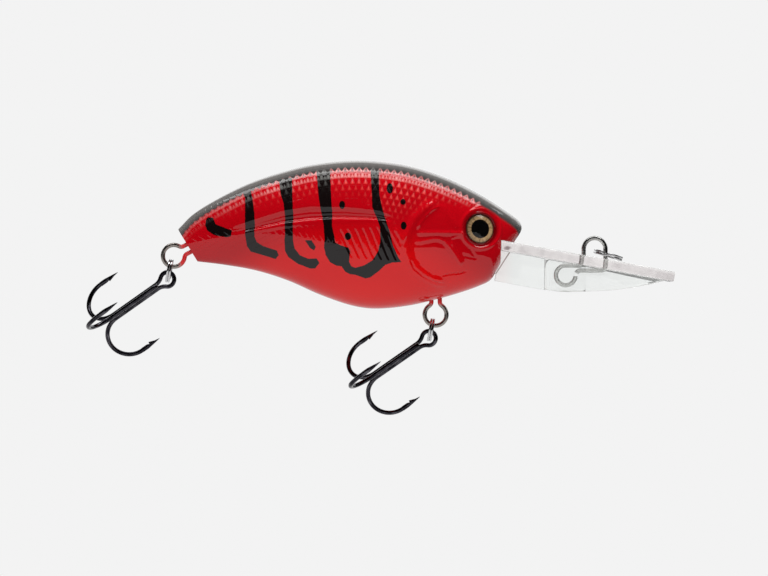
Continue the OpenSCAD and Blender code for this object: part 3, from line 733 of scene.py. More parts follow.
left_side = painted_side("left_painted_side", 1)
right_side = painted_side("right_painted_side", -1)
for side, shell in ((left_side, "left_body_shell"), (right_side, "right_body_shell")):
    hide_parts(shell)
    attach(side, "lure_body")
print("each side:", len(left_side.data.polygons), "faces")

# %% [markdown]
# ## The paint: scarlet ground
# A lure is painted in layers: scarlet all over, pearly scale edges near the back with painted highlights
# on their tips, dark bars, a dusky back with painted sheen along its top, and a thick clear coat, which
# is the Principled shader's own coat. The scarlet is deepest on the upper side and warmer and lighter
# towards the belly, partly the paint's own fade and partly painted light from the floor below, with
# faint clouds as an airbrush leaves them.

# %% Scarlet ground
paint = Finish("lure_paint", Coat_Weight=1.0, Coat_Roughness=0.015, Coat_IOR=1.5, Specular_IOR_Level=0.0,
               Sheen_Weight=0.12, Sheen_Roughness=0.35)
fine = paint.noise(900.0, 2.0)
broad = paint.noise(120.0, 3.0)
below = paint.stored("below_back")
red = paint.blend(broad, (0.32, 0.0004, 0.003, 1), (0.39, 0.0008, 0.005, 1))
# Lighter towards the belly: partly the paint's own fade, partly painted light from the floor below.
red = paint.blend(paint.fade(below, 10, 18), red, (0.53, 0.002, 0.003, 1))
red = paint.blend(paint.fade(below, 20, 27), red, (0.58, 0.005, 0.004, 1))
print("scarlet ready")

# %% [markdown]
# ## The paint: scales
# Each row of scales starts half a scale along from the one above it. Two numbers place a point in its
# scale: how far beside the middle it is, and how far down the row. From them come a thin pearly arch
# for the scale's edge, brightest at its top as painted highlight, and a small light triangle at its tip,
# which is painted highlight where each scale catches the light from above.

# %% Scales
scale_w, row_h = 1.37, 1.2
depth_rows = paint.over(below, row_h)
down = paint.maths("FRACT", depth_rows)
beside = paint.times_plus(paint.maths("FLOOR", depth_rows), 0.5,
                          paint.over(paint.stored("scale_along"), scale_w))
beside = paint.times(paint.maths("PINGPONG", beside, 0.5), 2.0)
arch = paint.maths("ABSOLUTE", paint.less(beside, down))
arch = paint.maths("ADD", arch, paint.times_plus(fine, 0.12, -0.06))
line = paint.less(1.0, paint.over(arch, paint.fade(below, 2.0, 5.0, 0.42, 0.15)))
# The arch is brightest at the top of its row: painted highlight from the light above.
line = paint.times(paint.maths("MAXIMUM", line, 0.0), paint.fade(down, 0.25, 1.0, 1.0, 0.35))
showing = paint.times(line, paint.stored("scales"))
patchy = paint.fade(paint.noise(330.0, 3.0), 0.35, 0.6, 0.4, 1.0)
# The pearly scale lines: partly the paint's pearl, partly painted glints where the back catches the light.
pearl_and_glint = paint.times(paint.times(showing, paint.fade(below, 2.0, 4.6, 0.9, 0.2)), patchy)
pearl_and_glint = paint.maths("MINIMUM", pearl_and_glint, 1.0)


def lit_scale_tip(off_middle):
    """The painted highlight on each scale's tip: a small triangle that fades out towards its foot."""
    inside = paint.less(paint.times(down, 0.72), off_middle)
    tip = paint.times(paint.fade(inside, -0.06, 0.14), paint.fade(down, 0.5, 0.85, 1.0, 0.0))
    return paint.times(tip, paint.stored("scales"))


between = paint.times(lit_scale_tip(paint.less(1.0, beside)), paint.fade(below, 2.9, 3.9, 0.9, 0.0))
lit_tips = paint.maths("MAXIMUM", lit_scale_tip(beside), between)
lit_tips = paint.times(lit_tips, paint.times_plus(patchy, 0.5, 0.5))
# The tips are pink painted highlight near the back and turn redder further down.
tip_highlight = paint.blend(paint.fade(below, 2.4, 4.6), (0.60, 0.29, 0.28, 1), (0.74, 0.09, 0.075, 1))
red = paint.blend(paint.times(lit_tips, 0.8), red, tip_highlight)
red = paint.blend(paint.times(pearl_and_glint, 0.7), red, (0.62, 0.33, 0.32, 1))
pearl_and_glint = paint.maths("MAXIMUM", pearl_and_glint, paint.times(lit_tips, paint.fade(below, 2.6, 5.2, 0.7, 0.05)))
print("scales:", scale_w, "mm wide, rows", row_h, "mm apart")

# %% [markdown]
# ## The paint: bars, back and socket
# The bars turn on where the stored distance falls below zero, with a little noise so the edge looks
# sprayed. The scale glints show grey on the bars as painted highlight. The dusky back is sprayed from
# above, with painted sheen lightening its top, and the scales break up its edge. The socket round the
# eye is darkened with painted shade.

# %% Bars, back and socket
soft = paint.times_plus(fine, 0.1, paint.stored("bars"))
# Painted highlight: the scale glints show grey over the dark bars.
bar_and_glint = paint.blend(paint.times(pearl_and_glint, 0.5), (0.004, 0.002, 0.002, 1), (0.4, 0.4, 0.38, 1))
coloured = paint.blend(paint.fade(soft, 0.0, 0.12, 1.0, 0.0), red, bar_and_glint)
edge = paint.times_plus(broad, 0.25, paint.times_plus(showing, 0.4, paint.stored("dusk")))
# Painted sheen: the back is lighter along its top, darker further down.
back_and_sheen = paint.blend(paint.fade(below, 0.3, 1.7), (0.105, 0.098, 0.094, 1), (0.035, 0.032, 0.031, 1))
dusk_and_sheen = paint.blend(paint.times(showing, 0.12), back_and_sheen, (0.24, 0.22, 0.21, 1))
coloured = paint.blend(paint.fade(edge, 1.05, 1.5, 1.0, 0.0), coloured, dusk_and_sheen)
# Painted shade in the socket round the eye.
socket_shade = paint.fade(paint.stored("socket"), 2.9, 3.8, 0.9, 0.0)
paint.colour(paint.blend(socket_shade, coloured, (0.07, 0.0, 0.001, 1)))
print("bars and back ready")

# %% [markdown]
# ## The paint: surface
# Scales are pressed faintly into the plastic, so one slope of each catches the light. The same bump
# goes to the clear coat, because the coat follows the surface it is poured over.

# %% Surface of the paint
paint.rough(paint.fade(broad, 0.3, 0.7, 0.32, 0.42))
plate_up = paint.fade(paint.less(beside, down), -0.25, 0.25)
surface = paint.maths("ADD", paint.times(plate_up, paint.stored("pressed")), paint.times(fine, 0.03))
paint.feed(paint.shader.inputs["Coat Normal"], paint.bump(surface, 0.00006, 0.8))
for side in (left_side, right_side):
    side.data.materials.append(paint.material)
print("paint ready")

# %% [markdown]
# ## Eyes
# A moulded eye is a foil disc under a clear dome. The foil's gold ring has fine streaks running out
# from the pupil, so its colour is mixed from noise measured by angle and radius. The dome is a thin
# cap of clear plastic that magnifies it.

# %% Eyes
turns, iris_rings, rim_gap = 96, 40, 0.02
dome_flat, dome_swell, dome_back = 0.3, 0.88, -0.2


def eye_pieces(prefix, side):
    """The foil and the dome of one eye, each a closed turned shape on the eye's axis."""
    axis, middle = eye_axis * np.array([1, side, 1]), eye_mid * np.array([1, side, 1])
    across = unit(np.cross(axis, Z))
    up = np.cross(across, axis)
    a = np.linspace(0, 2 * math.pi, turns, endpoint=False)
    around = np.cos(a)[:, None] * across + np.sin(a)[:, None] * up

    def turned(name, r, lift, values=None):
        points = middle + r[:, None, None] * around[None] + lift[:, None, None] * axis
        piece = make_piece(name, points.reshape(-1, 3), tube_faces(len(r), turns, flip=True), values)
        face_outward(piece)
        return piece

    r = np.linspace(rim_gap, eye_r - 0.03, iris_rings)
    lift = np.append(-0.755 - 0.1 * (1 - (r / eye_r) ** 2), -0.915)
    r = np.append(r, r[-1])
    values = {"radius": np.repeat(r, turns), "around": np.tile(a, len(r))}
    foil = turned(prefix + "_eye_iris", r, lift, values)
    r = np.concatenate([np.linspace(rim_gap, eye_r - 0.12, 30),
                        eye_r - 0.12 + 0.1 * np.sin(np.linspace(0.3, math.pi / 2, 5))])
    lift = dome_flat + dome_swell * (1 - (r / eye_r) ** 2)
    r, lift = np.append(r, [eye_r - 0.02, rim_gap]), np.append(lift, [dome_back, dome_back])
    return foil, turned(prefix + "_eye_lens", r, lift - dome_seat)


print("each eye:", 2 * eye_r, "mm across")

# %% [markdown]
# ## Eyes: finishes
# Printed foil is only half metallic. The streaks come from noise stretched by angle and radius, and
# the dark pupil and rim are places along the radius. The dome is clear, with a trace of wear.

# %% Eye finishes
eye_gold = Finish("eye_foil", Metallic=0.55, Specular_IOR_Level=0.0)
from_pupil = eye_gold.stored("radius")
ray = eye_gold.noise(1.0, 4.0, eye_gold.vector(eye_gold.times(eye_gold.stored("around"), 7.0),
                                               eye_gold.times(from_pupil, 0.8)))
gold = eye_gold.blend(ray, (0.16, 0.075, 0.03, 1), (0.56, 0.40, 0.21, 1))
gold = eye_gold.blend(eye_gold.fade(from_pupil, 2.25, 2.6), gold, (0.05, 0.022, 0.015, 1))
pupil_edge = eye_gold.times_plus(ray, 0.08, from_pupil)
gold = eye_gold.blend(eye_gold.fade(pupil_edge, 1.66, 1.76, 1.0, 0.0), gold, (0.002, 0.002, 0.002, 1))
eye_gold.colour(gold)
eye_gold.rough(eye_gold.fade(ray, 0.3, 0.7, 0.22, 0.4))
eye_gold.bump(ray, 0.00002, 0.5)

eye_clear = Finish("eye_lens", Transmission_Weight=1.0, IOR=1.45)
eye_clear.colour(eye_clear.blend(eye_clear.noise(300.0), (0.98, 0.95, 0.9, 1), (1, 1, 1, 1)))
eye_clear.rough(eye_clear.fade(eye_clear.noise(700.0), 0.4, 0.8, 0.0, 0.03))
for prefix, side in (("left", 1), ("right", -1)):
    foil, lens = eye_pieces(prefix, side)
    stand_in(foil, prefix + "_eye_foil", "lure_body", eye_gold)
    stand_in(lens, prefix + "_eye_dome", "lure_body", eye_clear)
    lens.visible_shadow = False
print("eyes ready")

# %% [markdown]
# ## The diving lip
# The lip is one clear moulding: a flat plate that makes the lure dive, a keel under it that stiffens
# it, and a thick boss round the buried end of the line tie. Rounded slabs and a lofted boss are joined
# with a boolean union, so light passes through one solid and meets no false walls inside it.

# %% Lip
lip_angle = math.radians(10.4)
lip_l, lip_root_w, lip_w, lip_t, keel_t, keel_depth, boss_t = 33.5, 10.4, 19.0, 1.9, 2.8, 7.8, 4.6
lip_line = [(0, 0), (0.1, 0.04), (0.25, 0.4), (0.42, 0.84), (0.58, 1), (0.74, 0.98), (0.87, 0.8),
            (0.95, 0.5), (1, 0.1)]
keel_line = [(0, 1), (0.26, 1), (0.4, 0.95), (0.55, 0.78), (0.7, 0.57), (0.85, 0.27), (0.96, 0)]
tie_x = chin_x + 17.9
tie_z = float(lip_top(tie_x)) + 1.62
anchor_x = tie_x - 5.5


def slab(name, outline, low, high, flat, rounding, segments=3):
    """An outline given a thickness, with its edges rounded. flat turns (a, b, t) into a point."""
    mesh = bmesh.new()
    ring = [mesh.verts.new(to_frame(flat(a, b, low))) for a, b in outline]
    face = mesh.faces.new(ring)
    moved = bmesh.ops.extrude_face_region(mesh, geom=[face])["geom"]
    shift = (to_frame(flat(0, 0, high)) - to_frame(flat(0, 0, low))).tolist()
    bmesh.ops.translate(mesh, vec=shift, verts=[g for g in moved if isinstance(g, bmesh.types.BMVert)])
    bmesh.ops.recalc_face_normals(mesh, faces=mesh.faces)
    rims = [e for e in mesh.edges if e.calc_face_angle(0) > math.radians(50)]
    bmesh.ops.bevel(mesh, geom=rims, offset=rounding / 1000, segments=segments, profile=0.5, affect="EDGES")
    data = bpy.data.meshes.new(name)
    mesh.to_mesh(data)
    mesh.free()
    return add_to_scene(name, data)


def on_plate(u, w, t):
    """Along the plate, across it, and up from its top face."""
    return np.array([chin_x + u * math.cos(lip_angle) + t * math.sin(lip_angle), w,
                     lip_root_z - u * math.sin(lip_angle) + t * math.cos(lip_angle)])


def upright(x, z, y):
    return np.array([x, y, z])


trim = 0.01
print("lip:", lip_l, "mm long at", round(math.degrees(lip_angle), 1), "degrees")

# %% [markdown]
# ## The diving lip: plate and keel
# Seen from above the plate is a long paddle. Its rear face is cut flat, square to the body, where it
# meets the notch. The keel hangs under its middle, deep at the chin and running out before the tip.

# %% Plate and keel
u_plate = np.linspace(0.06, lip_l, 60)
half = lip_root_w / 2 + (lip_w - lip_root_w) / 2 * fair(lip_line, u_plate / lip_l)
plate_outline = list(zip(u_plate, half)) + list(zip(u_plate[::-1], -half[::-1]))
plate = slab("lip_plate", plate_outline, -lip_t + trim, -trim, on_plate, 0.22)
rear_face = float(to_frame([chin_x + 0.06, 0, 0])[0])
for vertex in plate.data.vertices:
    vertex.co.x = max(vertex.co.x, rear_face)

u_keel = np.linspace(0.3, 0.95 * lip_l, 50)
keel_share = fair(keel_line, np.minimum(u_keel / lip_l, keel_line[-1][0]))
drop_keel = lip_t + (keel_depth - lip_t) * np.maximum(0, keel_share)
keel_low = [tuple(on_plate(a, 0, -b)[[0, 2]]) for a, b in zip(u_keel, drop_keel)]
keel_x0 = keel_low[0][0]
chin = [(x + 0.08, float(belly_z(np.array(x)))) for x in np.linspace(chin_x, keel_x0 + 0.25, 8)
        if float(belly_z(np.array(x))) > keel_low[0][1] + 0.3]
keel_outline = [(chin_x + 0.08, float(lip_top(chin_x)) - lip_t / 2)] + chin + keel_low
keel_outline += [tuple(on_plate(0.95 * lip_l, 0, -lip_t / 2)[[0, 2]])]
keel = slab("lip_keel", keel_outline, -keel_t / 2 + trim, keel_t / 2 - trim, upright, 0.18)
print("keel:", round(float(drop_keel.max()), 1), "mm deep")

# %% [markdown]
# ## The diving lip: boss and tongue
# The boss is the thick part round the line tie's buried coil. It is lofted from loops that shrink
# towards both sides, which gives it rounded edges. The tongue is the part glued inside the body.

# %% Boss and tongue
boss_low = [(x, z) for x, z in keel_low if anchor_x - 4.1 < x < anchor_x + 3.8]
boss_x = np.linspace(boss_low[0][0], boss_low[-1][0], 30)
boss_z = np.interp(boss_x, *np.array(boss_low).T)
boss_half, boss_round = boss_t / 2 - trim, 0.8
turn = np.radians(np.concatenate([np.linspace(-90, 0, 9), np.linspace(0, 90, 9)]))
boss_points = []
for angle in turn:
    pull = boss_round * (1 - math.cos(angle))
    y = math.copysign(boss_half - boss_round, angle) + boss_round * math.sin(angle)
    middle_x = (boss_x[0] + boss_x[-1]) / 2
    x = middle_x + (boss_x - middle_x) * (1 - 2 * pull / (boss_x[-1] - boss_x[0]))
    z = np.interp(x, boss_x, boss_z) + pull + trim
    top = np.array([float(lip_top(v)) for v in x]) - lip_t / 2
    boss_points += [(a, y, b) for a, b in zip(x, z)] + [(a, y, b) for a, b in zip(x[::-1], top[::-1])]
boss = make_piece("lip_boss", np.array(boss_points), tube_faces(len(turn), 2 * len(boss_x)))
face_outward(boss)
tongue_rear, tongue_front = chin_x - 6.0 + trim, chin_x + 1
tongue_low, tongue_top = lip_root_z - 6.39, lip_root_z - 1.61
tongue_outline = [(tongue_rear, tongue_low), (tongue_front, tongue_low), (tongue_front, tongue_top),
                  (tongue_rear, tongue_top)]
tongue = slab("lip_tongue", tongue_outline, -keel_t / 2 + trim, keel_t / 2 - trim, upright, 0.1)
print("boss:", boss_t, "mm thick")

# %% [markdown]
# ## The diving lip: one clear solid
# The four solids overlap, so they are joined before they get a finish. Smooth shading with marked
# sharp edges keeps the rounded rims soft and the flat faces flat.

# %% Join the lip
def joined(name, base, others):
    """Union of several solids as one new mesh."""
    for other in others:
        step = base.modifiers.new(other.name, "BOOLEAN")
        step.operation = "UNION"
        step.solver = "EXACT"
        step.object = other
    data = bpy.data.meshes.new_from_object(base.evaluated_get(bpy.context.evaluated_depsgraph_get()))
    data.name = name
    piece = add_to_scene(name, data)
    for old in [base] + others:
        bpy.data.objects.remove(old, do_unlink=True)
    return piece


lip = joined("clear_lip", plate, [keel, boss, tongue])
lip.data.polygons.foreach_set("use_smooth", [True] * len(lip.data.polygons))
lip.data.set_sharp_from_angle(angle=math.radians(30))
lip.visible_shadow = False
print("lip:", len(lip.data.polygons), "faces")

# %% [markdown]
# ## The diving lip: clear plastic
# Thick clear plastic is never quite clean. The plate is a little smoky and clearer at its rim, and the
# root is tinted pink as a painted reflection of the body's red.

# %% Lip finish
lip_clear = Finish("clear_lip", Transmission_Weight=0.93, IOR=1.5)
at_x, _, at_z = lip_clear.axes()
notch_m = (chin_x + tail_x) / 1000
# Painted reflection: the body's red shows pink in the lip next to the notch.
root_red_reflection = lip_clear.fade(at_x, notch_m, notch_m + 0.003, 0.3, 0.0)
glassy = lip_clear.blend(lip_clear.times(lip_clear.noise(140.0), 0.3), (0.88, 0.90, 0.89, 1),
                         (0.83, 0.83, 0.82, 1))
above = lip_clear.times_plus(at_x, math.sin(lip_angle), lip_clear.times(at_z, math.cos(lip_angle)))
root_m = to_frame([chin_x, 0, lip_root_z])
plate_low = float(root_m[0] * math.sin(lip_angle) + root_m[2] * math.cos(lip_angle)) - (lip_t + 0.05) / 1000
smoke = lip_clear.fade(lip_clear.noise(260.0, 3.0), 0.42, 0.6)
plate_tone = lip_clear.blend(smoke, (0.88, 0.845, 0.84, 1), (0.70, 0.665, 0.665, 1))
plate_rim = lip_clear.fade(above, plate_low + 0.0012, plate_low + 0.0018)
plate_tone = lip_clear.blend(plate_rim, plate_tone, (0.93, 0.92, 0.91, 1))
glassy = lip_clear.blend(lip_clear.fade(above, plate_low, plate_low + 0.0001), glassy, plate_tone)
print("plate finish ready")

# %% [markdown]
# ## The diving lip: pin and seat
# The keel has a cross pin near its root and a slanting line where it is let into the chin. Both are
# colour inside the plastic, placed by their distance from a point, so they need no geometry.

# %% Cross pin and seat line
pin_x, _, pin_z = map(float, to_frame([62.45, 0, -2.5]))
pin_wide, pin_tall = 0.0007, 0.00036
across = lip_clear.over(lip_clear.less(at_x, pin_x), pin_wide)
upward = lip_clear.over(lip_clear.less(at_z, pin_z), pin_tall)
from_pin = lip_clear.maths("SQRT", lip_clear.times_plus(across, across, lip_clear.times(upward, upward)))
glassy = lip_clear.blend(lip_clear.fade(from_pin, 0.6, 1.25), (0.16, 0.11, 0.12, 1), glassy)
seat_x, _, seat_z = map(float, to_frame([62.9, 0, -3.4]))
seat_rise = math.atan2(4.2, 2.7)
off_line = lip_clear.times_plus(lip_clear.less(at_x, seat_x), math.sin(seat_rise),
                                lip_clear.times(lip_clear.less(at_z, seat_z), -math.cos(seat_rise)))
seat_line = lip_clear.fade(lip_clear.maths("ABSOLUTE", off_line), 0.00006, 0.00016, 1.0, 0.0)
seat_line = lip_clear.times(seat_line, lip_clear.fade(at_z, seat_z, seat_z + 0.0002, 1.0, 0.0))
glassy = lip_clear.blend(seat_line, glassy, (0.2, 0.16, 0.14, 1))
lip_clear.colour(lip_clear.blend(root_red_reflection, glassy, (0.93, 0.78, 0.78, 1)))
lip_clear.rough(lip_clear.fade(lip_clear.noise(500.0, 4.0), 0.45, 0.8, 0.0, 0.06))
lip_clear.bump(lip_clear.noise(90.0, 2.0), 0.00004, 0.5)
stand_in(lip, "diving_lip", "lure_body", lip_clear)
print("lip ready")

# %% [markdown]
# ## Wire loops
# The line tie and the hangers are bent from one gauge of stainless wire. Each is a path of straight
# runs and arcs in the lure's middle plane, swept with a round section.

# %% Line tie
wire_r, loop_r, throat, throat_bend, leg, foot = 0.42, 2.07, 0.8, 0.9, 4.6, 1.6
anchor_r, anchor_bend = 1.85, 0.9
strand_z = tie_z - 3.15


def wire_piece(name, path, node, finish):
    keep = np.concatenate([[True], np.linalg.norm(np.diff(path, axis=0), axis=1) > 1e-4])
    points, faces, values = sweep(path[keep], wire_r - 0.003)
    stand_in(make_piece(name, points, faces, values), node, "lure_body", finish)


def flat_arc(x, z, radius, start, end, steps=24):
    return arc((x, 0, z), radius, start, end, X, Z, steps)


tie_path = np.concatenate([
    flat_arc(anchor_x, strand_z - anchor_r, anchor_r, 355, 90, 60),
    flat_arc(tie_x - loop_r - anchor_bend, strand_z + anchor_bend, anchor_bend, -90, 0, 14),
    flat_arc(tie_x, tie_z, loop_r, 180, 0, 60),
    flat_arc(tie_x + loop_r - anchor_bend, strand_z - anchor_r + 2 * anchor_bend, anchor_bend, 0, -90, 14),
    flat_arc(anchor_x + anchor_r + anchor_bend, strand_z - anchor_r, anchor_bend, 90, 150, 10)])
wire_piece("line_tie_loop", tie_path, "line_tie_wire", tie_steel)
print("line tie ready")

# %% [markdown]
# ## The hangers
# A hanger is an open loop on two legs, with feet that turn out inside the plastic so it can't pull
# out. The belly's hangs straight down, and the tail's leans along the body.

# %% Belly and tail hangers


def hanger_path(loop, lean):
    """lean turns the legs from straight up towards the nose, in degrees."""
    out = throat + throat_bend
    neck = math.sqrt((loop_r + throat_bend) ** 2 - out ** 2)
    turn = math.degrees(math.atan2(neck, out))
    top = neck + leg
    path = np.concatenate([
        [(-out - foot, 0, top + throat_bend)], flat_arc(-out, top, throat_bend, 90, 0, 10),
        flat_arc(-out, neck, throat_bend, 0, -turn, 14), flat_arc(0, 0, loop_r, 180 - turn, 360 + turn, 80),
        flat_arc(out, neck, throat_bend, 180 + turn, 180, 14), flat_arc(out, top, throat_bend, 180, 90, 10),
        [(out + foot, 0, top + throat_bend)]])
    c, s_ = math.cos(math.radians(lean)), math.sin(math.radians(lean))
    turned = np.stack([path[:, 0] * c + path[:, 2] * s_, path[:, 1], path[:, 2] * c - path[:, 0] * s_], 1)
    return turned + np.asarray(loop)


belly_x = 0.75 * body_l
belly_loop = np.array([belly_x, 0, float(belly_z(np.array(belly_x))) - 2.85])
neck_len = math.sqrt((loop_r + throat_bend) ** 2 - (throat + throat_bend) ** 2)
tail_mid_z, tail_tilt = -0.088 * body_h, math.radians(27)
tail_face = float(tail_cut_x(tail_mid_z))
tail_loop = np.array([tail_face - (neck_len + 0.9) * math.cos(tail_tilt), 0,
                      tail_mid_z - (neck_len + 0.9) * math.sin(tail_tilt)])

hanger_dark, hanger_light = (0.24, 0.21, 0.19, 1), (0.5, 0.46, 0.43, 1)
belly_finish = drawn_metal("belly_hanger_steel", hanger_dark, hanger_light, 0.2, 0.38)
tail_finish = drawn_metal("tail_hanger_steel", hanger_dark, hanger_light, 0.2, 0.38)
wire_piece("belly_hanger_wire", hanger_path(belly_loop, 0), "belly_hanger", belly_finish)
wire_piece("tail_hanger_wire", hanger_path(tail_loop, 63), "tail_hanger", tail_finish)
print("hangers ready")

# %% [markdown]
# ## Overspray
# The hangers were in the body when it was painted, so red paint reaches a little way down the wire
# and ends in a ragged edge. Where the paint covers the steel, the finish stops being metallic.

# %% Overspray on the hangers
def overspray(f, reach):
    """Body colour over the wire where reach is positive, in metres."""
    wet = f.times_plus(f.noise(700.0), 0.0012, reach)
    painted = f.fade(wet, -0.0002, 0.0008)
    bare = f.shader.inputs["Base Color"].links[0].from_socket
    f.colour(f.blend(painted, bare, (0.5, 0.01, 0.012, 1)))
    f.feed(f.shader.inputs["Metallic"], f.fade(painted, 0.0, 1.0, 1.0, 0.0))


skin_m = float(to_frame([belly_x, 0, float(belly_z(np.array(belly_x)))])[2])
overspray(belly_finish, belly_finish.less(belly_finish.axes()[2], skin_m - 0.0007))
tail_m = float(to_frame([float(tail_loop[0]) + 1.5, 0, 0])[0])
overspray(tail_finish, tail_finish.less(tail_finish.axes()[0], tail_m))
print("overspray ready")

# %% [markdown]
# ## Split rings
# A split ring is two turns of flattened wire that step past each other, like a key ring. It is swept
# as one coil: the middle of the wire climbs by one wire height where the turns cross over.

# %% Split rings
ring_w, ring_t = 0.6, 0.42
ring_pitch = ring_t + 0.04


def split_ring(outer_d):
    """Points of a coil round +Z."""
    middle = (outer_d - ring_w) / 2
    a = np.radians(np.linspace(25, 695, 300))
    t = np.clip((np.degrees(a) - 335) / 50, 0, 1)
    climb = (t * t * (3 - 2 * t) - 0.5) * ring_pitch
    corners = 20
    k = np.linspace(0, 2 * math.pi, corners, endpoint=False)
    flat = 2 / 3.6
    across = np.sign(np.cos(k)) * np.abs(np.cos(k)) ** flat * (ring_w / 2 - 0.004)
    high = np.sign(np.sin(k)) * np.abs(np.sin(k)) ** flat * (ring_t / 2 - 0.003)
    taper = np.minimum(1, 0.35 + np.minimum(np.arange(len(a)), np.arange(len(a))[::-1]) / 5)
    m = middle + across[None, :] * taper[:, None]
    points = np.stack([-m * np.cos(a)[:, None], -m * np.sin(a)[:, None],
                       climb[:, None] + high[None, :] * taper[:, None]], -1)
    values = {"along": np.repeat(np.degrees(a) / 30, corners), "around": np.tile(k, len(a))}
    return points.reshape(-1, 3), tube_faces(len(a), corners), values


print("ring wire:", ring_w, "x", ring_t, "mm")

# %% [markdown]
# ## Hanging the rings
# A ring hangs by its inside from the lowest part of a loop, tilted a little out of line as loose
# rings do. The one on the line tie lies on the lip's top.

# %% Turns and rings in place
def turn_y(degrees):
    c, s_ = math.cos(math.radians(degrees)), math.sin(math.radians(degrees))
    return np.array([[c, 0, s_], [0, 1, 0], [-s_, 0, c]])


def turn_x(degrees):
    c, s_ = math.cos(math.radians(degrees)), math.sin(math.radians(degrees))
    return np.array([[1, 0, 0], [0, c, -s_], [0, s_, c]])


def turn_z(degrees):
    c, s_ = math.cos(math.radians(degrees)), math.sin(math.radians(degrees))
    return np.array([[c, -s_, 0], [s_, c, 0], [0, 0, 1]])


ring_seat, ring_tilt, ring_swing = 20, 10, 24
hook_ring_d, line_ring_d, link_gap = 4.6, 5.6, 0.3
ring_mid = (hook_ring_d - ring_w) / 2
ring_hang = ring_mid - ring_w / 2 - link_gap - wire_r
ring_turn = turn_y(ring_tilt) @ turn_x(ring_swing) @ turn_y(90) @ turn_z(90)


def ring_piece(name, node, body, outer_d, turn, place):
    points, faces, values = split_ring(outer_d)
    piece = make_piece(name, points @ turn.T + place, faces, values)
    stand_in(piece, node, body, ring_nickel)


def ring_near(loop):
    return loop - loop_r * np.array([math.sin(math.radians(ring_seat)), 0, math.cos(math.radians(ring_seat))])


for end, loop in (("belly", belly_loop), ("tail", tail_loop)):
    centre = ring_near(loop) + ring_turn @ np.array([0, -ring_hang, 0])
    ring_piece(end + "_split_ring", end + "_ring", end + "_link", hook_ring_d, ring_turn @ turn_z(90),
               centre)

ring_lean, ring_ahead = 6, 0.35
lift = ring_pitch / 2 + ring_t / 2 + 0.16 + (ring_ahead + line_ring_d / 2) * math.sin(math.radians(ring_lean))
leg_foot = np.array([tie_x + loop_r, 0, float(lip_top(tie_x + loop_r))])
line_turn = turn_y(math.degrees(lip_angle))
ring_piece("line_split_ring", "line_tie_ring", "tie_ring", line_ring_d,
           line_turn @ turn_y(ring_lean) @ turn_z(90),
           leg_foot + line_turn @ np.array([ring_ahead, 0, lift / math.cos(lip_angle)]))
print("rings ready")

# %% [markdown]
# ## Treble hooks
# A treble is made from a double hook, bent from one wire with the eye in its middle, and a third hook
# brazed into the groove between the shanks. Each hook is a sweep whose radius shrinks to the needle
# point. The barb is a sliver raised on the inside of the point, with a small cut behind it.

# %% Treble hooks
hook_l, hook_r, bend_r, point_l, hook_eye_r = 18.9, 0.42, 4.15, 4.1, 1.37
shank_gap = hook_r + 0.01
single_out = shank_gap * math.sqrt(3)
eye_throat = 2.5
eye_neck = math.sqrt((hook_eye_r + eye_throat) ** 2 - (shank_gap + eye_throat) ** 2)
hook_eye_mid = hook_eye_r + hook_r
bend_top = hook_l - bend_r - hook_r
needle_l, needle_steps = 2.9, 60
barb_from, barb_to, barb_h, nick_from, nick_d = 0.22, 0.62, 0.3, 0.05, 0.15
splay = math.cos(math.radians(-30))


def hook_run(foot_point, h):
    """Path and radius from the shank's foot to the needle's tip. The hook bends out towards h."""
    foot_point, h = np.asarray(foot_point, dtype=float), np.asarray(h, dtype=float)
    curve = np.concatenate([foot_point + bend_r * h + bend_r * (
        np.cos(np.radians(a)) * h + np.sin(np.radians(a)) * Z)[None] for a in np.linspace(180, 360, 56)])
    tip = foot_point + 2 * bend_r * h
    climb = np.concatenate([np.linspace(0.05, point_l - needle_l, 6),
                            point_l - needle_l + needle_l * np.linspace(0.02, 1, needle_steps)])
    arm = tip + climb[:, None] * Z
    path = np.concatenate([curve, arm])
    t = np.clip((climb - (point_l - needle_l)) / needle_l, 0, 1)
    radius = np.concatenate([np.full(len(curve), hook_r), hook_r * (1 - t) ** 0.85 + 0.03])
    return path, radius


def hook_shape(h):
    """The barb on the inner side of the needle, and the small cut behind it."""
    h = np.asarray(h, dtype=float)

    def shape(r, across, up, angle):
        out = np.cos(angle)[None, :, None] * across[:, None] + np.sin(angle)[None, :, None] * up[:, None]
        inner = np.clip(-(out @ h), 0, 1) ** 3
        share = (np.arange(len(r)) - (len(r) - needle_steps)) / needle_steps
        barb = (barb_to - share) / (barb_to - barb_from)
        barb = np.where((share > barb_from) & (share < barb_to), barb, 0.0)
        nick = np.sin(np.clip((share - nick_from) / (barb_from - nick_from), 0, 1) * math.pi / 2)
        nick = np.where((share > nick_from) & (share <= barb_from), nick, 0.0)
        return r + barb_h * (barb ** 0.8)[:, None] * inner - nick_d * nick[:, None] * inner

    return shape


def hook_mesh(start_path, foot_point, h):
    run, radius = hook_run(foot_point, h)
    path = np.concatenate([start_path, run])
    radius = np.concatenate([np.full(len(start_path), hook_r), radius])
    return sweep(path, radius, sides=22, shape=hook_shape(h))


print("needle:", needle_l, "mm, barb", barb_h, "mm high")

# %% [markdown]
# ## Double and single hook
# The double hook is one wire, but two sweeps that start from the top of the eye are simpler to make
# and meet there without a seam that shows.

# %% Double and single hook
def merged(parts):
    points, faces, first, values = [], [], 0, {}
    for p, f_, v_ in parts:
        points.append(p)
        faces += [[first + i for i in face] for face in f_]
        first += len(p)
        for key, value in v_.items():
            values.setdefault(key, []).append(value)
    return np.concatenate(points), faces, {k: np.concatenate(v_) for k, v_ in values.items()}


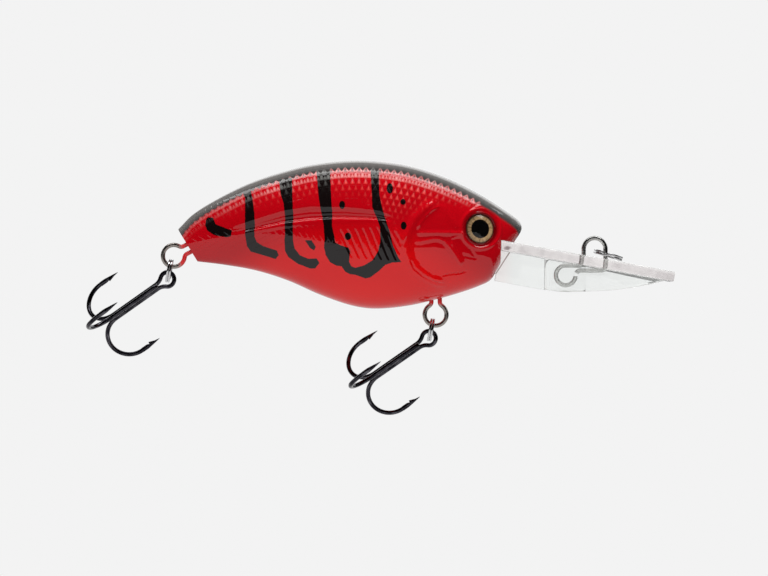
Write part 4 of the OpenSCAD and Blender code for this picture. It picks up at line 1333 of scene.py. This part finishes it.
def double_hook():
    out = shank_gap + eye_throat
    turn = math.degrees(math.atan2(eye_neck, out))
    neck = -hook_eye_mid - eye_neck
    eye_loop = np.concatenate([
        flat_arc(out, neck, eye_throat, 180, 180 - turn, 16),
        flat_arc(0, -hook_eye_mid, hook_eye_r, -turn, 180 + turn, 70)[1:-1],
        flat_arc(-out, neck, eye_throat, turn, 0, 16)])
    middle = len(eye_loop) // 2
    parts = []
    for side, half_loop in ((1, eye_loop[:middle + 1][::-1]), (-1, eye_loop[middle:])):
        gap = side * shank_gap
        shank = np.linspace([gap, 0, neck - 0.1], [gap, 0, -bend_top + 0.1], 10)
        parts.append(hook_mesh(np.concatenate([half_loop, shank]), (gap, 0, -bend_top),
                               (side * splay, -0.5, 0)))
    points, faces, values = merged(parts)
    return points - np.array([0, single_out / 3, 0]), faces, values


def single_hook():
    top = -hook_eye_mid - eye_neck + 0.4
    straight = np.linspace([0, 0, top], [0, 0, -bend_top + 0.1], 12)
    points, faces, values = hook_mesh(straight, (0, 0, -bend_top), (0, 1, 0))
    return points + np.array([0, single_out * 2 / 3, 0]), faces, values


print("treble:", hook_l, "mm long")

# %% [markdown]
# ## Hanging the trebles
# Each treble hangs from the far side of its ring. It is left out of reflections, so that the belly's
# gloss mirrors only the pale floor.

# %% Trebles in place
treble_fall, treble_swing, treble_roll = 34.9, 10.9, -10.6
treble_turn = turn_y(90 - treble_fall) @ turn_x(treble_swing) @ turn_z(180 + treble_roll)


def ring_far(loop):
    c, s_ = math.cos(math.radians(ring_swing)), math.sin(math.radians(ring_swing))
    tilt = math.radians(ring_tilt)
    return ring_near(loop) + (ring_hang + ring_mid) * np.array([-c * math.sin(tilt), s_, -c * math.cos(tilt)])


for end, loop in (("belly", belly_loop), ("tail", tail_loop)):
    place = ring_far(loop) + np.array([-0.1, 0, 0.15])
    for kind, maker in (("double", double_hook), ("single", single_hook)):
        points, faces, values = maker()
        points = (points + np.array([0, single_out / 3, hook_eye_mid])) @ treble_turn.T + place
        piece = make_piece(f"{end}_{kind}_hook", points, faces, values)
        piece.visible_glossy = False
        stand_in(piece, f"{end}_treble_{kind}_hook", end + "_treble", hook_black_and_glint)
print("hooks ready")

# %% [markdown]
# ## Weights and rattles
# The brass slug and the steel balls are inside the body, so their CAD solids stay and get a finish.
# Balls polished by rolling have faint random scratches; the slug shows turning marks.

# %% Inner finishes
ball_steel = Finish("ball_steel", Metallic=1.0)
mark = ball_steel.noise(1800.0, 4.0)
ball_steel.colour(ball_steel.blend(mark, (0.55, 0.55, 0.56, 1), (0.78, 0.78, 0.8, 1)))
ball_steel.rough(ball_steel.fade(mark, 0.3, 0.7, 0.08, 0.25))
ball_steel.bump(mark, 0.00001, 0.3)
slug_brass = Finish("slug_brass", Metallic=1.0)
turned_mark = slug_brass.node("ShaderNodeTexWave", bands_direction="Y")
slug_brass.feed(turned_mark.inputs["Vector"], slug_brass.place())
turned_mark.inputs["Scale"].default_value = 900.0
turned_mark.inputs["Distortion"].default_value = 0.6
groove = turned_mark.outputs["Fac"]
slug_brass.colour(slug_brass.blend(groove, (0.55, 0.38, 0.14, 1), (0.75, 0.56, 0.26, 1)))
slug_brass.rough(slug_brass.fade(groove, 0.0, 1.0, 0.25, 0.4))
slug_brass.bump(groove, 0.00002, 0.3)
balls = ("knocker_ball", "rattle_ball_1", "rattle_ball_2", "rattle_ball_3")
for name, finish in [(ball, ball_steel) for ball in balls] + [("ballast_slug", slug_brass)]:
    data = frame["nodes"][name].data
    data.materials.clear()
    data.materials.append(finish.material)
print("inner pieces ready")

# %% [markdown]
# ## Floor, light and camera
# A glossy lure shows its surroundings. The lower half mirrors a pale floor, the flank mirrors a dark
# room, and the back mirrors a soft box overhead. A large pale dome stands behind everything as a
# plain backdrop. It is hidden from reflections, so that the flank stays dark and rich.

# %% Floor and backdrop
low, high = (np.array(c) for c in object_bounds())
centre = (low + high) / 2
floor_z = float(low[2]) - 0.012


pale, black = (0.896, 0.896, 0.896, 1), (0, 0, 0, 1)


def glowing(name, strength):
    """A finish that gives pale light of its own and reflects none."""
    return Finish(name, Base_Color=black, Roughness=1.0, Specular_IOR_Level=0.0, Emission_Color=pale,
                  Emission_Strength=strength).material


def hide_from(piece, *rays):
    for ray in rays:
        setattr(piece, "visible_" + ray, False)


def stage_card(name, place, size, strength, *missed_by, turn=(0, 0, 0)):
    """A flat card that gives off light; the kinds of ray in missed_by go through it."""
    w, h = size[0] / 2, size[1] / 2
    mesh = bpy.data.meshes.new(name)
    mesh.from_pydata([(-w, -h, 0), (w, -h, 0), (w, h, 0), (-w, h, 0)], [], [(0, 1, 2, 3)])
    mesh.materials.append(glowing(name, strength))
    piece = add_to_scene(name, mesh, place)
    piece.rotation_euler = turn
    hide_from(piece, *missed_by)
    piece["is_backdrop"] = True


stage_card("floor", (centre[0], centre[1], floor_z), (6.0, 6.0), 1.0, "glossy")
backdrop_r = 4.0
dome_mesh = bmesh.new()
bmesh.ops.create_icosphere(dome_mesh, subdivisions=4, radius=backdrop_r)
dome_data = bpy.data.meshes.new("backdrop")
dome_mesh.to_mesh(dome_data)
dome_mesh.free()
dome_data.materials.append(glowing("backdrop", 1.0))
backdrop = add_to_scene("backdrop", dome_data, centre)
hide_from(backdrop, "glossy", "diffuse", "shadow")
backdrop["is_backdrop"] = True
print("floor at", round(floor_z, 4), "m")

# %% [markdown]
# ## Cards for the gloss
# Studios shape gloss with cards. The bounce card lies on the floor and lights up the lower flank's
# reflection, the rear card gives the back a light edge, and two black flags darken the ends of what
# is seen through the clear lip. Only the rays that need a card see it.

# %% Cards
card_tail, card_nose, card_near, card_far = -0.8, 0.09, -0.42, 1.3
card_place = (centre[0] + (card_tail + card_nose) / 2, centre[1] + (card_near + card_far) / 2,
              floor_z + 0.0005)
stage_card("bounce_card", card_place, (card_nose - card_tail, card_far - card_near), 0.85,
           "camera", "diffuse", "transmission", "shadow")
flag_off, flag_size = 0.9, (0.5, 0.9)
for n, end in enumerate((-1, 1)):
    stage_card(f"black_flag_{n + 1}", (centre[0] + end * flag_off, centre[1], centre[2]), flag_size, 0.0,
               "camera", "diffuse", "glossy", "shadow", turn=(0, math.radians(90), 0))
stage_card("rear_card", (centre[0], centre[1] + 0.6, centre[2] + 0.36), (2.0, 0.48), 1.5,
           "camera", "diffuse", "transmission", "shadow", turn=(math.radians(90), 0, 0))
print("cards ready")

# %% [markdown]
# ## Lights
# Large soft boxes give even light without hard shadows. Only the narrow strip overhead shows in the
# gloss, as a thin line along the shoulder. Clear plastic would show the lamps burnt out, so they are
# hidden from light that passes through it.

# %% Lights
def soft_box(name, place, size, power, glossy=True):
    light = bpy.data.lights.new(name, "AREA")
    light.shape = "RECTANGLE"
    light.size, light.size_y = size
    light.energy = power
    box = add_to_scene(name, light, place)
    box.rotation_euler = Vector(centre - np.asarray(place)).to_track_quat("-Z", "Y").to_euler()
    box.visible_glossy = glossy
    hide_from(box, "camera", "transmission")


cx, cy, cz = centre
soft_box("overhead", (cx, cy, cz + 0.7), (0.9, 0.5), 8.0, glossy=False)
soft_box("strip", (cx, cy - 0.1, cz + 0.6), (0.9, 0.15), 1.9)
soft_box("front_fill", (cx - 0.1, cy - 0.8, cz + 0.35), (0.8, 0.6), 6.0, glossy=False)
soft_box("rear_fill", (cx + 0.1, cy + 0.8, cz + 0.35), (0.8, 0.6), 6.0, glossy=False)
room = bpy.data.worlds.new("room")
bpy.context.scene.world = room
room.use_nodes = True
room_light = room.node_tree.nodes["Background"].inputs
room_light["Color"].default_value = (0.006, 0.006, 0.006, 1)
room_light["Strength"].default_value = 1.0
bpy.context.scene.view_settings.view_transform = "Standard"
print("lights ready")

# %% [markdown]
# ## Camera
# The camera stands level with the lure, square to its side and far off for its size, so the body is
# drawn almost without perspective. The lens follows from the width that should fill the frame.

# %% Camera
frame_w, distance, sensor_w = 0.1459, 1.0, 36.0
camera_data = bpy.data.cameras.new("camera")
camera_data.sensor_width = sensor_w
camera_data.lens = sensor_w * distance / frame_w
aim = to_frame([39.1, 0, -10.1])
camera = add_to_scene("camera", camera_data, (aim[0], aim[1] - distance, aim[2]))
camera.rotation_euler = (math.radians(90), 0, 0)
bpy.context.scene.camera = camera
print("camera ready")
